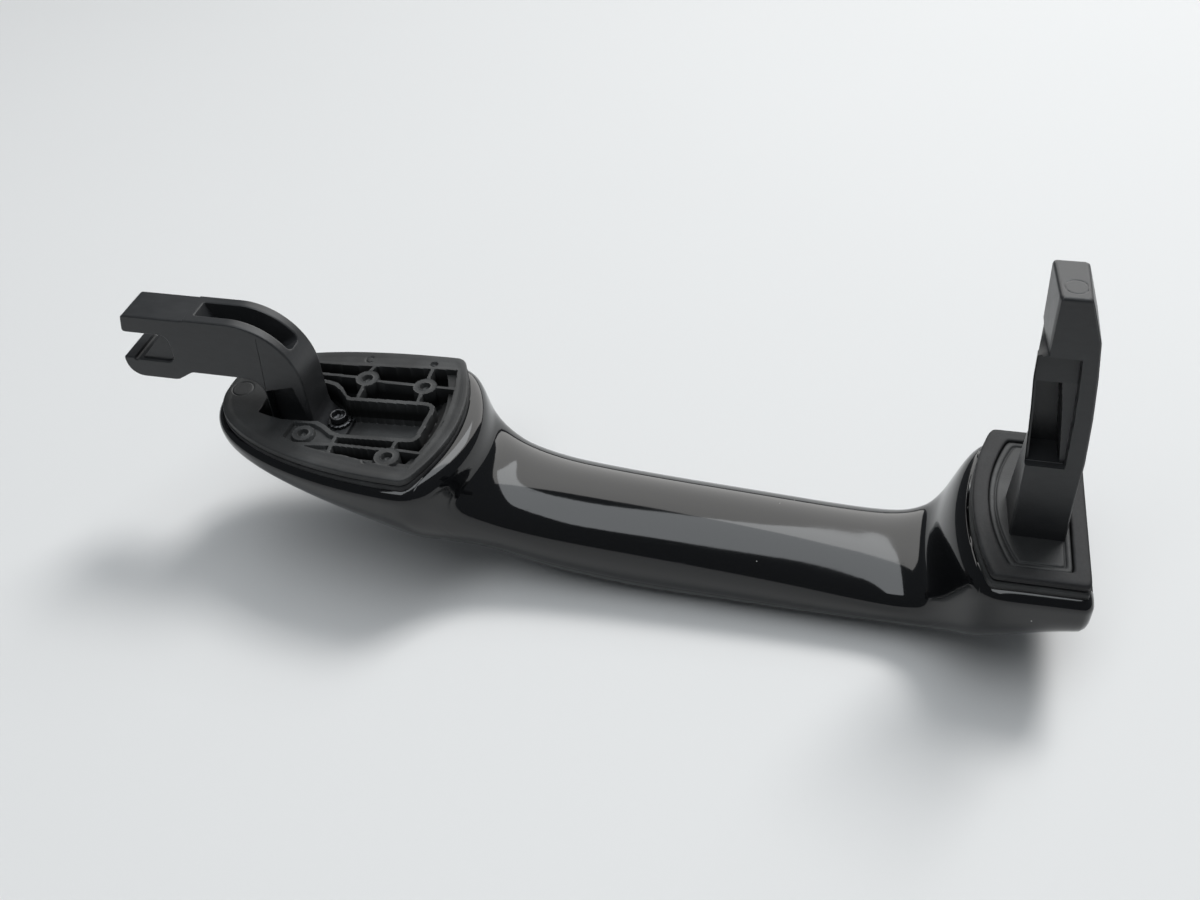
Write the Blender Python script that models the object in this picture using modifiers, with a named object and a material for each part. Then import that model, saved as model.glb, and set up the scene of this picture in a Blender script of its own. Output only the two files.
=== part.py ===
"""Exterior car door handle of the strap type, as it comes off the car.

Frame: +X runs from the pivot fork at the front to the actuating post at the rear, +Z points into
the car, and the painted outer face points down. The handle lies on the crown of that face, with
the middle of its bounding box over the origin. All sizes are in metres.

Inside this file the shapes are first worked out in the design frame, where z = 0 is the plane in
which the rear gasket meets the door skin and x = 0 is the middle of the body. One empty, on which
every piece hangs, then lifts the whole handle onto its outer face.
"""

import math

import bmesh
import bpy
import numpy as np

# ---- Driving dimensions: the painted body ------------------------------------------------------------
BODY_LENGTH = 0.2080  # tip of the nose to the flat rear end
FRONT_WIDTH = 0.0476  # across the front block at its corners
REAR_WIDTH = 0.0488  # across the rear block
GRIP_WIDTH = 0.0274  # across the slimmest stretch of the grip
GRIP_DROP = 0.0145  # inner face of the grip below the rear gasket plane, mid-length
GRIP_THICKNESS = 0.0216  # inner face to outer face, mid-length
SHELL_WALL = 0.0022  # moulded wall of both shells along the grip
BLOCK_WALL = 0.0026  # moulded wall round the tubs that the two bases sit in
SEAM_HEIGHT = 0.34  # seam between the shells, as a share of the section's height
SEAM_SLOPE_LENGTH = 0.011  # run over which the seam climbs from the grip to a block's corner

# ---- Driving dimensions: the two seats on the door skin ----------------------------------------------
FRONT_SEAT_RISE = 0.0051  # front seat plane above the rear one
FRONT_SEAT_LENGTH = 0.0570  # tip to corners of the front seat
FRONT_ARC_BULGE = 0.0060  # how far the seat's rear edge bows towards the grip
REAR_SEAT_LENGTH = 0.0205  # corners to the flat rear end
REAR_ARC_BULGE = 0.0042
NOSE_SHIFT = 0.0033  # tip of the nose off the centre line
NOSE_FULLNESS = 2.6  # exponent of the nose outline: 2 is an ellipse
SEAT_MARGIN = 0.0007  # painted rim showing round each seat
FRONT_FLANGE = 0.0016
FRONT_GASKET = 0.0016
REAR_GASKET = 0.0019
REAR_FLANGE = 0.0022
GASKET_BAND = 0.0040  # width of the rear gasket's frame
FRONT_GASKET_BAND = 0.0015

# ---- Driving dimensions: the ribbed front base -------------------------------------------------------
BASE_DEPTH = 0.0070  # top of the ribs to the floor of the base
RIB = 0.0011
POCKET_RIB = 0.0014  # wall round the middle pocket
BASE_FLOOR = 0.0010
TRAY_WALL = 0.0009
BOSS_RADIUS = 0.0032
BOSS_DIMPLE = 0.0014
BOSS_DIMPLE_DEPTH = 0.0009
BASE_RIM = 0.0048  # plain border between the ribs and the edge

# ---- Driving dimensions: the forked hook arm ---------------------------------------------------------
ARM_THICKNESS = 0.0103
ARM_REACH = 0.0204  # fork tip beyond the nose of the body
ARM_HEIGHT = 0.0260  # top of the arm above the front seat plane
ARM_DEPTH = 0.0161  # top to underside of the level stretch
LEG_WIDTH = 0.0108
BEND_RADIUS = 0.0165
JAW_DEPTH = 0.0053  # upper jaw of the fork
FORK_GAP = 0.0079
FORK_DEPTH = 0.0120
LOWER_JAW_DEPTH = 0.0056
SLOT_WIDTH = 0.0052
SLOT_DEPTH = 0.0060
SLOT_WALL = 0.0150  # from the start of the slot to the bend
SLOT_END = 31.0  # degrees above the level where the slot stops in the bend
LEG_FILLET = 0.0022
LEG_HOLLOW = 0.0028  # how far both flanks of the leg are cored back
LEG_HOLLOW_TOP = 0.0110
FOOT_LENGTH = 0.0074
FOOT_THICKNESS = 0.0024

# ---- Driving dimensions: the actuating post ----------------------------------------------------------
POST_HEIGHT = 0.0616
POST_THICKNESS = 0.0131
POST_FRONT = -0.0107  # front face of the post, off the centre line
POST_TOP_LENGTH = 0.0056
POST_FOOT_LENGTH = 0.0115
POST_REAR_GAP = 0.0050  # foot of the post to the rear end of the body
HEAD_HEIGHT = 0.0137
HEAD_PROUD = 0.0016  # head in front of the shaft's face
POST_POCKET_DEPTH = 0.0080
POST_POCKET_HEIGHT = 0.0220
POST_POCKET_SILL = 0.0200  # bottom of the pocket above the seat
POST_WALL = 0.0016
POST_RIB = 0.0046  # flush rib beside the pocket, at the sill

# ---- Driving dimensions: the beam and the fasteners --------------------------------------------------
BEAM_WIDTH = 0.0120
BEAM_THICKNESS = 0.0030
PLATE_THICKNESS = 0.0020
SCREW_RADIUS = 0.0012
SCREW_HEAD_RADIUS = 0.0024
SCREW_HEAD = 0.0012
HOOK_SCREW_RADIUS = 0.0015
HOOK_HEAD_RADIUS = 0.0022
HOOK_HEAD = 0.0015
WASHER_RADIUS = 0.0031
WASHER_THICKNESS = 0.0006
INSERT_RADIUS = 0.0027
GAP = 0.0003  # clearance kept between any two pieces

# ---- Worked out from the sizes above -----------------------------------------------------------------
FRONT_X = -BODY_LENGTH / 2
REAR_X = BODY_LENGTH / 2
FRONT_TOP = FRONT_SEAT_RISE
FRONT_RIM = FRONT_TOP - FRONT_FLANGE - FRONT_GASKET - 2 * GAP
REAR_RIM = -REAR_GASKET - REAR_FLANGE - 2 * GAP
FRONT_CORNER_X = FRONT_X + FRONT_SEAT_LENGTH
REAR_CORNER_X = REAR_X - REAR_SEAT_LENGTH
GRIP_BOTTOM = -GRIP_DROP - GRIP_THICKNESS
LEG_X = FRONT_X + 0.0212  # middle of the hook's leg
HOOK_SCREW_X = LEG_X + LEG_WIDTH / 2 + 0.0042
FRONT_PLATE_TOP = FRONT_TOP - BASE_DEPTH - BASE_FLOOR - GAP
FRONT_PLATE_BOTTOM = FRONT_PLATE_TOP - PLATE_THICKNESS
BOSSES = (  # along x from the corners, across y
    (FRONT_CORNER_X - 0.0219, 0.0109),
    (FRONT_CORNER_X - 0.0065, 0.0108),
    (FRONT_CORNER_X - 0.0066, -0.0152),
    (FRONT_CORNER_X - 0.0301, -0.0112),
)
POST_FOOT_X = REAR_X - POST_REAR_GAP - POST_FOOT_LENGTH / 2
POST_MIDDLE_Y = POST_FRONT + POST_THICKNESS / 2
REAR_PANEL_TOP = -0.0006
REAR_BASE_BOTTOM = -0.0100
REAR_PLATE_TOP = REAR_BASE_BOTTOM - GAP
REAR_PLATE_BOTTOM = REAR_PLATE_TOP - PLATE_THICKNESS


# ---- Scene, collections and materials ----------------------------------------------------------------
for leftover in list(bpy.data.objects):
    bpy.data.objects.remove(leftover, do_unlink=True)

parts = bpy.data.collections.new("car_door_handle")
cutters = bpy.data.collections.new("cutters")
cutters.hide_render = True
for group in (parts, cutters):
    bpy.context.scene.collection.children.link(group)

root = bpy.data.objects.new("handle_frame", None)
parts.objects.link(root)


def material(name, colour, roughness, metallic=0.0):
    made = bpy.data.materials.new(name)
    made.use_nodes = True
    shader = made.node_tree.nodes["Principled BSDF"]
    shader.inputs["Base Color"].default_value = (*colour, 1.0)
    shader.inputs["Roughness"].default_value = roughness
    shader.inputs["Metallic"].default_value = metallic
    return made


GLOSS_BLACK = material("gloss_black_paint", (0.006, 0.006, 0.007), 0.06)
MATTE_NYLON = material("glass_filled_nylon", (0.055, 0.058, 0.060), 0.62)
PAD_PLASTIC = material("grained_base_plastic", (0.045, 0.048, 0.050), 0.58)
RUBBER = material("gasket_rubber", (0.020, 0.021, 0.022), 0.80)
STEEL = material("zinc_plated_steel", (0.55, 0.56, 0.57), 0.32, 1.0)
BRASS = material("brass", (0.70, 0.52, 0.24), 0.35, 1.0)
BEAM_NYLON = material("beam_nylon", (0.10, 0.10, 0.10), 0.60)


# ---- Modelling helpers -------------------------------------------------------------------------------
def hold(mesh, name, finish=None):
    """Puts a mesh in the scene as a part, or as a hidden cutter when it has no finish."""
    made = bpy.data.objects.new(name, mesh)
    if finish is None:
        cutters.objects.link(made)
        made.hide_render = True
        made.display_type = "WIRE"
    else:
        parts.objects.link(made)
        mesh.materials.clear()
        mesh.materials.append(finish)
    made.parent = root
    return made


def outline_solid(name, points, low, high, finish=None, upright=False):
    """An outline as thick as low..high: flat in x, y, or upright in x, z and thick along y."""
    curve = bpy.data.curves.new(name, "CURVE")
    curve.dimensions = "2D"
    curve.fill_mode = "BOTH"
    curve.extrude = (high - low) / 2
    spline = curve.splines.new("POLY")
    spline.points.add(len(points) - 1)
    for point, (u, v) in zip(spline.points, points):
        point.co = (u, v, 0.0, 1.0)
    spline.use_cyclic_u = True
    guide = bpy.data.objects.new(name + "_outline", curve)
    bpy.context.scene.collection.objects.link(guide)
    if upright:
        guide.rotation_euler = (math.pi / 2, 0.0, 0.0)
        guide.location = (0.0, (low + high) / 2, 0.0)
    else:
        guide.location = (0.0, 0.0, (low + high) / 2)
    bpy.context.view_layer.update()
    evaluated = guide.evaluated_get(bpy.context.evaluated_depsgraph_get())
    mesh = bpy.data.meshes.new_from_object(evaluated)
    mesh.transform(guide.matrix_world)
    bpy.data.objects.remove(guide, do_unlink=True)
    cage = bmesh.new()
    cage.from_mesh(mesh)
    bmesh.ops.remove_doubles(cage, verts=cage.verts, dist=1e-6)
    bmesh.ops.recalc_face_normals(cage, faces=cage.faces)
    cage.to_mesh(mesh)
    cage.free()
    return hold(mesh, name, finish)


def turned(name, profile, x, y, finish=None, steps=28):
    """A solid turned about the upright line through x, y, from (radius, z) points, top to bottom."""
    mesh = bpy.data.meshes.new(name)
    points = [(radius, 0.0, z) for radius, z in profile]
    mesh.from_pydata(points, [(i, i + 1) for i in range(len(points) - 1)], [])
    made = hold(mesh, name, finish)
    screw = made.modifiers.new("turn", "SCREW")
    screw.steps = steps
    screw.render_steps = steps
    screw.use_merge_vertices = True
    screw.merge_threshold = 0.00001
    screw.use_smooth_shade = finish is not None
    made.location = (x, y, 0.0)
    return made


def cylinder(name, radius, low, high, x, y, finish=None):
    return turned(name, [(0.0, high), (radius, high), (radius, low), (0.0, low)], x, y, finish)


def block(name, low, high, finish=None):
    """A box between two opposite corners."""
    mesh = bpy.data.meshes.new(name)
    cage = bmesh.new()
    bmesh.ops.create_cube(cage, size=1.0)
    size = [b - a for a, b in zip(low, high)]
    middle = [(a + b) / 2 for a, b in zip(low, high)]
    bmesh.ops.scale(cage, vec=size, verts=cage.verts)
    bmesh.ops.translate(cage, vec=middle, verts=cage.verts)
    cage.to_mesh(mesh)
    cage.free()
    return hold(mesh, name, finish)


def combine(target, tool, operation):
    """Leaves a live Boolean on the target. A piece that is joined becomes a hidden tool."""
    change = target.modifiers.new(f"{operation.lower()}_{tool.name}", "BOOLEAN")
    change.operation = operation
    change.object = tool
    change.solver = "EXACT"


def cut(target, *tools):
    for tool in tools:
        combine(target, tool, "DIFFERENCE")


def join(target, *tools):
    for tool in tools:
        combine(target, tool, "UNION")


def arc(centre, radius, start, end, count):
    """Points on a circle from one angle to another, in degrees."""
    angles = np.radians(np.linspace(start, end, count))
    return [(centre[0] + radius * math.cos(a), centre[1] + radius * math.sin(a)) for a in angles]


# ---- Painted body: one loft, split into an outer and an inner shell ----------------------------------
def smooth(x, places, values):
    """A curve through the given values with no overshoot: monotone cubic (Fritsch-Carlson)."""
    places, values = np.asarray(places, float), np.asarray(values, float)
    step = np.diff(places)
    slope = np.diff(values) / step
    tangent = np.zeros(len(places))
    for i in range(1, len(places) - 1):
        before, after = slope[i - 1], slope[i]
        if before * after > 0:
            w1 = 2 * step[i] + step[i - 1]
            w2 = step[i] + 2 * step[i - 1]
            tangent[i] = (w1 + w2) / (w1 / before + w2 / after)
    tangent[0], tangent[-1] = slope[0], slope[-1]
    i = np.clip(np.searchsorted(places, x) - 1, 0, len(step) - 1)
    h = step[i]
    t = (x - places[i]) / h
    rise = (2 * t**3 - 3 * t**2 + 1) * values[i] + (3 * t**2 - 2 * t**3) * values[i + 1]
    lean = (t**3 - 2 * t**2 + t) * h * tangent[i] + (t**3 - t**2) * h * tangent[i + 1]
    return rise + lean


def nose_half_width(from_tip, length, full):
    """Half width of the nose: full at its corners, closing to nothing at the tip."""
    share = np.clip(1.0 - from_tip / length, 0.0, 1.0)
    return full * (1.0 - share**2) ** (1.0 / NOSE_FULLNESS)


def nose_shift(x):
    """The nose leans off the centre line towards its tip."""
    share = np.clip((FRONT_CORNER_X - x) / FRONT_SEAT_LENGTH, 0.0, 1.0)
    return NOSE_SHIFT * share**2


def body_stations():
    """Rows of x at the side, bow of the section, half width, top, bottom, two exponents, waist."""
    front, rear = FRONT_WIDTH / 2, REAR_WIDTH / 2
    grip = GRIP_WIDTH / 2
    middle = 0.010
    rows = []
    for from_tip, bottom in ((0.0, 0.0), (0.0015, -0.0009), (0.004, -0.0018), (0.008, -0.0030),
                             (0.016, -0.0050), (0.026, -0.0078), (0.042, -0.0135)):
        wide = max(nose_half_width(from_tip, FRONT_SEAT_LENGTH, front), 0.0022)
        level = 0.50 + 0.20 * min(from_tip / 0.016, 1.0)
        rows.append((FRONT_X + from_tip, 0.0, wide, FRONT_RIM, bottom, 8.0, 2.3, level))
    corner = FRONT_CORNER_X
    bow = FRONT_ARC_BULGE
    rows += [
        (corner - 0.0010, bow, front, FRONT_RIM, -0.0200, 8.0, 2.5, 0.72),
        (corner + 0.0030, bow, front - 0.0023, FRONT_RIM - 0.0012, -0.0222, 6.0, 2.5, 0.72),
        (corner + 0.0060, 0.8 * bow, grip + 0.0051, -0.0050, -0.0238, 4.0, 2.5, 0.70),
        (corner + 0.0110, 0.5 * bow, grip + 0.0025, -0.0082, -0.0260, 3.0, 2.6, 0.65),
        (corner + 0.0190, 0.2 * bow, grip + 0.0006, -0.0108, -0.0294, 2.6, 2.7, 0.58),
        (corner + 0.0330, 0.0, grip, -0.0126, -0.0336, 2.4, 2.8, 0.52),
        (middle, 0.0, grip - 0.0001, -GRIP_DROP, GRIP_BOTTOM, 2.4, 2.8, 0.50),
    ]
    corner = REAR_CORNER_X
    bow = -REAR_ARC_BULGE
    rows += [
        (corner - 0.0475, 0.0, grip + 0.0001, -0.0167, -0.0358, 2.4, 2.8, 0.50),
        (corner - 0.0275, 0.0, grip + 0.0006, -0.0188, -0.0346, 2.4, 2.8, 0.50),
        (corner - 0.0175, 0.0, grip + 0.0012, -0.0196, -0.0333, 2.6, 2.8, 0.52),
        (corner - 0.0115, 0.2 * bow, grip + 0.0025, -0.0188, -0.0318, 3.0, 2.8, 0.56),
        (corner - 0.0075, 0.5 * bow, grip + 0.0041, -0.0152, -0.0305, 4.0, 2.8, 0.62),
        (corner - 0.0045, 0.8 * bow, grip + 0.0063, -0.0100, -0.0292, 5.0, 3.0, 0.66),
        (corner - 0.0015, bow, rear - 0.0017, REAR_RIM - 0.0012, -0.0275, 6.0, 3.1, 0.70),
        (corner + 0.0015, bow, rear - 0.0002, REAR_RIM, -0.0255, 8.0, 3.2, 0.74),
        (corner + 0.0065, 0.5 * bow, rear, REAR_RIM, -0.0226, 8.0, 3.3, 0.74),
        (corner + 0.0125, 0.0, rear, REAR_RIM, -0.0200, 8.0, 3.5, 0.74),
        (REAR_X, 0.0, rear, REAR_RIM, -0.0175, 8.0, 3.8, 0.74),
    ]
    return rows


def body_ring(x, inset, open_top, count=44):
    """One section of the body: upper and lower superellipse halves that meet at the waist."""
    table = np.array(body_stations())
    bow, wide, top, bottom, upper, lower, waist = (smooth(x, table[:, 0], c) for c in table.T[1:])
    waist_z = bottom + (top - bottom) * waist
    wide = wide - inset
    top = top - inset
    bottom = bottom + inset
    if open_top:
        top, upper = FRONT_TOP + 0.02, 8.0
    angle = (np.arange(count) + 0.5) * 2 * math.pi / count
    c, s = np.cos(angle), np.sin(angle)
    power = np.where(s >= 0, 2 / upper, 2 / lower)
    across = wide * np.sign(c) * np.abs(c) ** power
    rise = np.where(s >= 0, (top - waist_z), (waist_z - bottom)) * np.sign(s) * np.abs(s) ** power
    along = x + bow * (1.0 - np.clip(np.abs(across) / (wide + inset), 0.0, 1.0) ** 2)
    return np.stack([along, across + nose_shift(x), waist_z + rise], axis=1)


def loft(name, rings, finish=None):
    """A closed skin over a row of rings with equal point counts, an even number of points each.

    A ring starts at its +y side, so the end caps join its upper half to its lower half in strips
    across, which lets an end follow the bow of its ring.
    """
    count = len(rings[0])
    faces = []
    for i in range(len(rings) - 1):
        for j in range(count):
            k = (j + 1) % count
            faces.append((i * count + j, i * count + k, (i + 1) * count + k, (i + 1) * count + j))
    for first in (0, (len(rings) - 1) * count):
        for j in range(count // 2 - 1):
            faces.append((first + j, first + j + 1, first + count - 2 - j, first + count - 1 - j))
    mesh = bpy.data.meshes.new(name)
    mesh.from_pydata(np.concatenate(rings).tolist(), [], faces)
    cage = bmesh.new()
    cage.from_mesh(mesh)
    bmesh.ops.recalc_face_normals(cage, faces=cage.faces)
    cage.to_mesh(mesh)
    cage.free()
    return hold(mesh, name, finish)


def station_places():
    """Where the loft takes a section: every table row and points between them on long runs."""
    rows = [row[0] for row in body_stations()]
    places = []
    for a, b in zip(rows, rows[1:]):
        parts_between = max(1, math.ceil((b - a) / 0.009))
        places += [a + (b - a) * i / parts_between for i in range(parts_between)]
    return places + [rows[-1]]


def seam_z(x):
    """Height of the seam: low along the grip, climbing to the rim at both blocks' corners."""
    table = np.array(body_stations())
    top = smooth(x, table[:, 0], table[:, 3])
    bottom = smooth(x, table[:, 0], table[:, 4])
    along_grip = bottom + (top - bottom) * SEAM_HEIGHT
    climb = max(
        1.0 - (x - FRONT_CORNER_X) / SEAM_SLOPE_LENGTH,
        1.0 - (REAR_CORNER_X - x) / SEAM_SLOPE_LENGTH,
        0.0,
    )
    rim = FRONT_RIM if x < 0 else REAR_RIM
    return along_grip + (rim - along_grip) * min(climb, 1.0) ** 1.6


def seam_outline(offset):
    """Side view of everything above the seam, moved up or down by half of the gap."""
    places = np.linspace(FRONT_CORNER_X, REAR_CORNER_X, 34)
    low = [(x, seam_z(x) + offset) for x in places]
    shift = offset
    low[0] = (low[0][0] + shift, low[0][1])
    low[-1] = (low[-1][0] - shift, low[-1][1])
    high = FRONT_TOP + 0.03
    return [(low[0][0], high)] + low + [(low[-1][0], high)]


def nose_places():
    """Where the tub under the front base takes a section."""
    return np.linspace(FRONT_X + 0.0040, FRONT_CORNER_X - 0.0012, 12)


def build_shells():
    outer = loft("outer_shell", [body_ring(x, 0.0, False) for x in station_places()], GLOSS_BLACK)
    inner = loft("inner_shell", [body_ring(x, 0.0, False) for x in station_places()], GLOSS_BLACK)
    inside = [x for x in station_places() if FRONT_CORNER_X - 0.002 < x < REAR_CORNER_X + 0.010]
    inside.insert(0, FRONT_CORNER_X - 0.0040)
    hollow = loft("grip_hollow", [body_ring(x, SHELL_WALL, False) for x in inside])
    nose_tub = loft("nose_tub", [body_ring(x, BLOCK_WALL, True) for x in nose_places()])
    tail = np.linspace(REAR_CORNER_X + 0.0012, REAR_X - BLOCK_WALL, 5)
    tail_tub = loft("tail_tub", [body_ring(x, BLOCK_WALL, True) for x in tail])
    above = outline_solid("above_seam", seam_outline(-GAP / 2), -0.06, 0.06, upright=True)
    keep = outline_solid("keep_above_seam", seam_outline(GAP / 2), -0.06, 0.06, upright=True)
    cut(outer, above, hollow, nose_tub, tail_tub)
    cut(inner, hollow, nose_tub, tail_tub)
    combine(inner, keep, "INTERSECT")
    return outer, inner


# ---- Front seat: ribbed base and its gasket ----------------------------------------------------------
def front_outline(inset, count=16):
    """Seat outline: superellipse nose, straight corners and a rear edge that bows to the grip."""
    full = FRONT_WIDTH / 2 - SEAT_MARGIN
    tip = FRONT_X + SEAT_MARGIN
    corner = FRONT_CORNER_X - inset
    # Points crowd towards the tip, where the outline turns fastest.
    share = np.linspace(0.0, 1.0, count) ** 2
    along = tip + inset + (corner - tip - inset) * share
    half = [nose_half_width(x - tip - inset, FRONT_SEAT_LENGTH - 2 * inset, full - inset) for x in along]
    upper = [(x, h + nose_shift(x)) for x, h in zip(along, half)]
    lower = [(x, -h + nose_shift(x)) for x, h in zip(along, half)]
    reach = full - inset
    bow = [
        (corner + FRONT_ARC_BULGE * (1 - (y / reach) ** 2), y)
        for y in np.linspace(reach, -reach, 13)[1:-1]
    ]
    return upper + bow + lower[:0:-1]


def rear_outline(inset, count=13):
    """Seat outline: a bowed edge towards the grip and three straight sides."""
    reach = REAR_WIDTH / 2 - SEAT_MARGIN - inset
    corner = REAR_CORNER_X + inset
    bow = [
        (corner - REAR_ARC_BULGE * (1 - (y / reach) ** 2), y)
        for y in np.linspace(-reach, reach, count)
    ]
    return [(REAR_X - inset, -reach), (REAR_X - inset, reach)] + bow[::-1]


def ribbed_recess():
    """Outline of the recess that holds the ribs, inside the plain border."""
    left = FRONT_CORNER_X - 0.0360
    back = FRONT_WIDTH / 2 - BASE_RIM - 0.0008
    front = -(FRONT_WIDTH / 2 - BASE_RIM - 0.0022)
    right = FRONT_CORNER_X - 0.0010
    bulge = FRONT_ARC_BULGE - 0.0036
    bow = [(right + bulge * (1 - (y / back) ** 2), y) for y in np.linspace(back, front, 9)]
    return [(left, back - 0.0028), (left + 0.0140, back)] + bow + [(left + 0.0120, front), (left, -0.0140)]


def grown(points, by):
    """A closed outline moved outwards by an even amount."""
    line = np.array(points)
    ahead = np.roll(line, -1, axis=0) - np.roll(line, 1, axis=0)
    ahead /= np.linalg.norm(ahead, axis=1)[:, None]
    turn = np.sum(line[:, 0] * np.roll(line[:, 1], -1) - np.roll(line[:, 0], -1) * line[:, 1])
    outwards = np.stack([ahead[:, 1], -ahead[:, 0]], axis=1) * np.sign(turn)
    return [tuple(p) for p in line + outwards * by]


def leg_hole():
    """Outline of the opening that the hook's leg and foot go down through."""
    left = LEG_X - LEG_WIDTH / 2
    right = LEG_X + LEG_WIDTH / 2 + LEG_FILLET + 2 * GAP
    return [
        (left - 0.0042, -0.0070),
        (left + 0.0070, -0.0089),
        (right, -0.0070),
        (right, ARM_THICKNESS / 2 + 0.0012),
        (left - 0.0042, ARM_THICKNESS / 2 + 0.0012),
    ]


def pocket_wall():
    """Centre line of the wall round the middle pocket, from its back end to its front end."""
    right = FRONT_CORNER_X - 0.0012
    back, front = 0.0042, -0.0102
    return [
        (right - 0.0340, 0.0100),
        (right - 0.0280, 0.0092),
        (right - 0.0255, 0.0074),
        (right - 0.0236, back + 0.0004),
        (right - 0.0018, back),
        (right, back - 0.0018),
        (right, front + 0.0018),
        (right - 0.0018, front),
        (right - 0.0202, front),
        (right - 0.0242, -0.0086),
        (right - 0.0290, -0.0070),
        (right - 0.0340, -0.0072),
    ]


def wall_along(name, line, width, low, high):
    """A wall of even width along a line of points, as one outline."""
    line = np.array(line)
    ahead = np.gradient(line, axis=0)
    ahead /= np.linalg.norm(ahead, axis=1)[:, None]
    side = np.stack([-ahead[:, 1], ahead[:, 0]], axis=1) * width / 2
    points = np.concatenate([line + side, (line - side)[::-1]])
    return outline_solid(name, [tuple(p) for p in points], low, high)


def build_front_base():
    floor = FRONT_TOP - BASE_DEPTH
    flange_bottom = FRONT_TOP - FRONT_FLANGE
    base = outline_solid("front_base", front_outline(0.0), flange_bottom, FRONT_TOP, PAD_PLASTIC)
    tub_room = loft("base_room", [body_ring(x, BLOCK_WALL + GAP, True) for x in nose_places()])
    recess = ribbed_recess()
    tray = grown(recess, TRAY_WALL)
    tray_solid = outline_solid("base_tray", tray, floor - BASE_FLOOR, flange_bottom + 0.0005)
    room = outline_solid("base_recess", recess, floor, FRONT_TOP + 0.001)
    combine(tray_solid, tub_room, "INTERSECT")
    join(base, tray_solid)
    cut(base, room)
    low, high = floor - 0.0004, FRONT_TOP
    tools = [wall_along("pocket_wall", pocket_wall(), POCKET_RIB, low, high)]
    back_y, front_y = BOSSES[0][1], -0.0134
    left, right = FRONT_CORNER_X - 0.0370, FRONT_CORNER_X + 0.0020
    tools.append(block("back_rib", (left + 0.010, back_y - RIB / 2, low), (right, back_y + RIB / 2, high)))
    front_low = (left + 0.0016, front_y - RIB / 2, low)
    front_high = (right - 0.001, front_y + RIB / 2, high)
    tools.append(block("front_rib", front_low, front_high))
    for i, (x, y) in enumerate(BOSSES[:2]):
        rib_low, rib_high = (x - RIB / 2, 0.0040, low), (x + RIB / 2, 0.0195, high)
        tools.append(block(f"back_cross_rib_{i + 1}", rib_low, rib_high))
    for i, x in enumerate((BOSSES[2][0], BOSSES[0][0] + 0.0008)):
        rib_low, rib_high = (x - RIB / 2, -0.0185, low), (x + RIB / 2, -0.0100, high)
        tools.append(block(f"front_cross_rib_{i + 1}", rib_low, rib_high))
    for i, (x, y) in enumerate(BOSSES):
        tools.append(cylinder(f"boss_{i + 1}", BOSS_RADIUS, low, high - 0.00005, x, y))
    join(base, *tools)
    hole = outline_solid("leg_hole", leg_hole(), floor - 0.004, FRONT_TOP + 0.001)
    foot_end = LEG_X + LEG_WIDTH / 2 + FOOT_LENGTH + GAP
    foot_half = ARM_THICKNESS / 2 + GAP
    foot_top = floor - BASE_FLOOR + FOOT_THICKNESS + GAP
    foot_room = block("foot_room", (LEG_X, -foot_half, floor - 0.004), (foot_end, foot_half, foot_top))
    cut(base, hole, foot_room)
    for i, (x, y) in enumerate(BOSSES):
        dimple_floor = FRONT_TOP - BOSS_DIMPLE_DEPTH
        cut(base, cylinder(f"dimple_{i + 1}", BOSS_DIMPLE, dimple_floor, FRONT_TOP + 0.001, x, y))
    for i, (x, y) in enumerate(BOSSES[:3]):
        cut(base, cylinder(f"base_screw_hole_{i + 1}", SCREW_RADIUS + GAP, -0.02, FRONT_TOP - 0.0025, x, y))
    return base


def build_front_gasket():
    high = FRONT_TOP - FRONT_FLANGE - GAP
    gasket = outline_solid("front_gasket", front_outline(-GAP), high - FRONT_GASKET, high, RUBBER)
    middle = outline_solid("gasket_opening", front_outline(FRONT_GASKET_BAND), high - 0.01, high + 0.01)
    cut(gasket, middle)


# ---- Hook arm: one upright outline, slotted along its back -------------------------------------------
def arm_outline():
    """Side view of the hook, anticlockwise from the foot of the leg."""
    top = FRONT_TOP + ARM_HEIGHT
    under = top - ARM_DEPTH
    left, right = LEG_X - LEG_WIDTH / 2, LEG_X + LEG_WIDTH / 2
    foot_top = FRONT_PLATE_TOP + GAP + FOOT_THICKNESS
    tip = fork_tip
    jaw_z = top - JAW_DEPTH
    floor_z = jaw_z - FORK_GAP
    jaw_bottom = floor_z - LOWER_JAW_DEPTH
    notch_end = tip + FORK_DEPTH + 0.0020
    nose = 0.0016
    corner = LEG_FILLET
    points = [(right + FOOT_LENGTH, foot_top - FOOT_THICKNESS), (right + FOOT_LENGTH, foot_top)]
    points += arc((right + corner, foot_top + corner), corner, 270, 180, 5)
    points += arc((right - BEND_RADIUS, top - BEND_RADIUS), BEND_RADIUS, 0, 90, 11)
    points += arc((tip + 0.0030 + nose, top - nose), nose, 90, 180, 4)
    points += [(tip + 0.0023, jaw_z)]
    points += arc((notch_end - corner, jaw_z - corner), corner, 90, 0, 5)
    points += arc((notch_end - corner, floor_z + corner), corner, 0, -90, 5)
    points += [(tip + 0.0038, floor_z), (tip + 0.0036, floor_z + 0.0006), (tip + 0.0003, floor_z + 0.0006)]
    points += arc((tip + 0.0040, jaw_bottom + 0.0040), 0.0040, 190, 270, 6)
    points += [(tip + 0.0130, jaw_bottom), (tip + 0.0175, under)]
    points += arc((left - 0.0040, under - 0.0040), 0.0040, 90, 0, 6)
    points += [(left, foot_top - FOOT_THICKNESS / 2), (left + 0.0026, foot_top - FOOT_THICKNESS)]
    return points[::-1]


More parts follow.
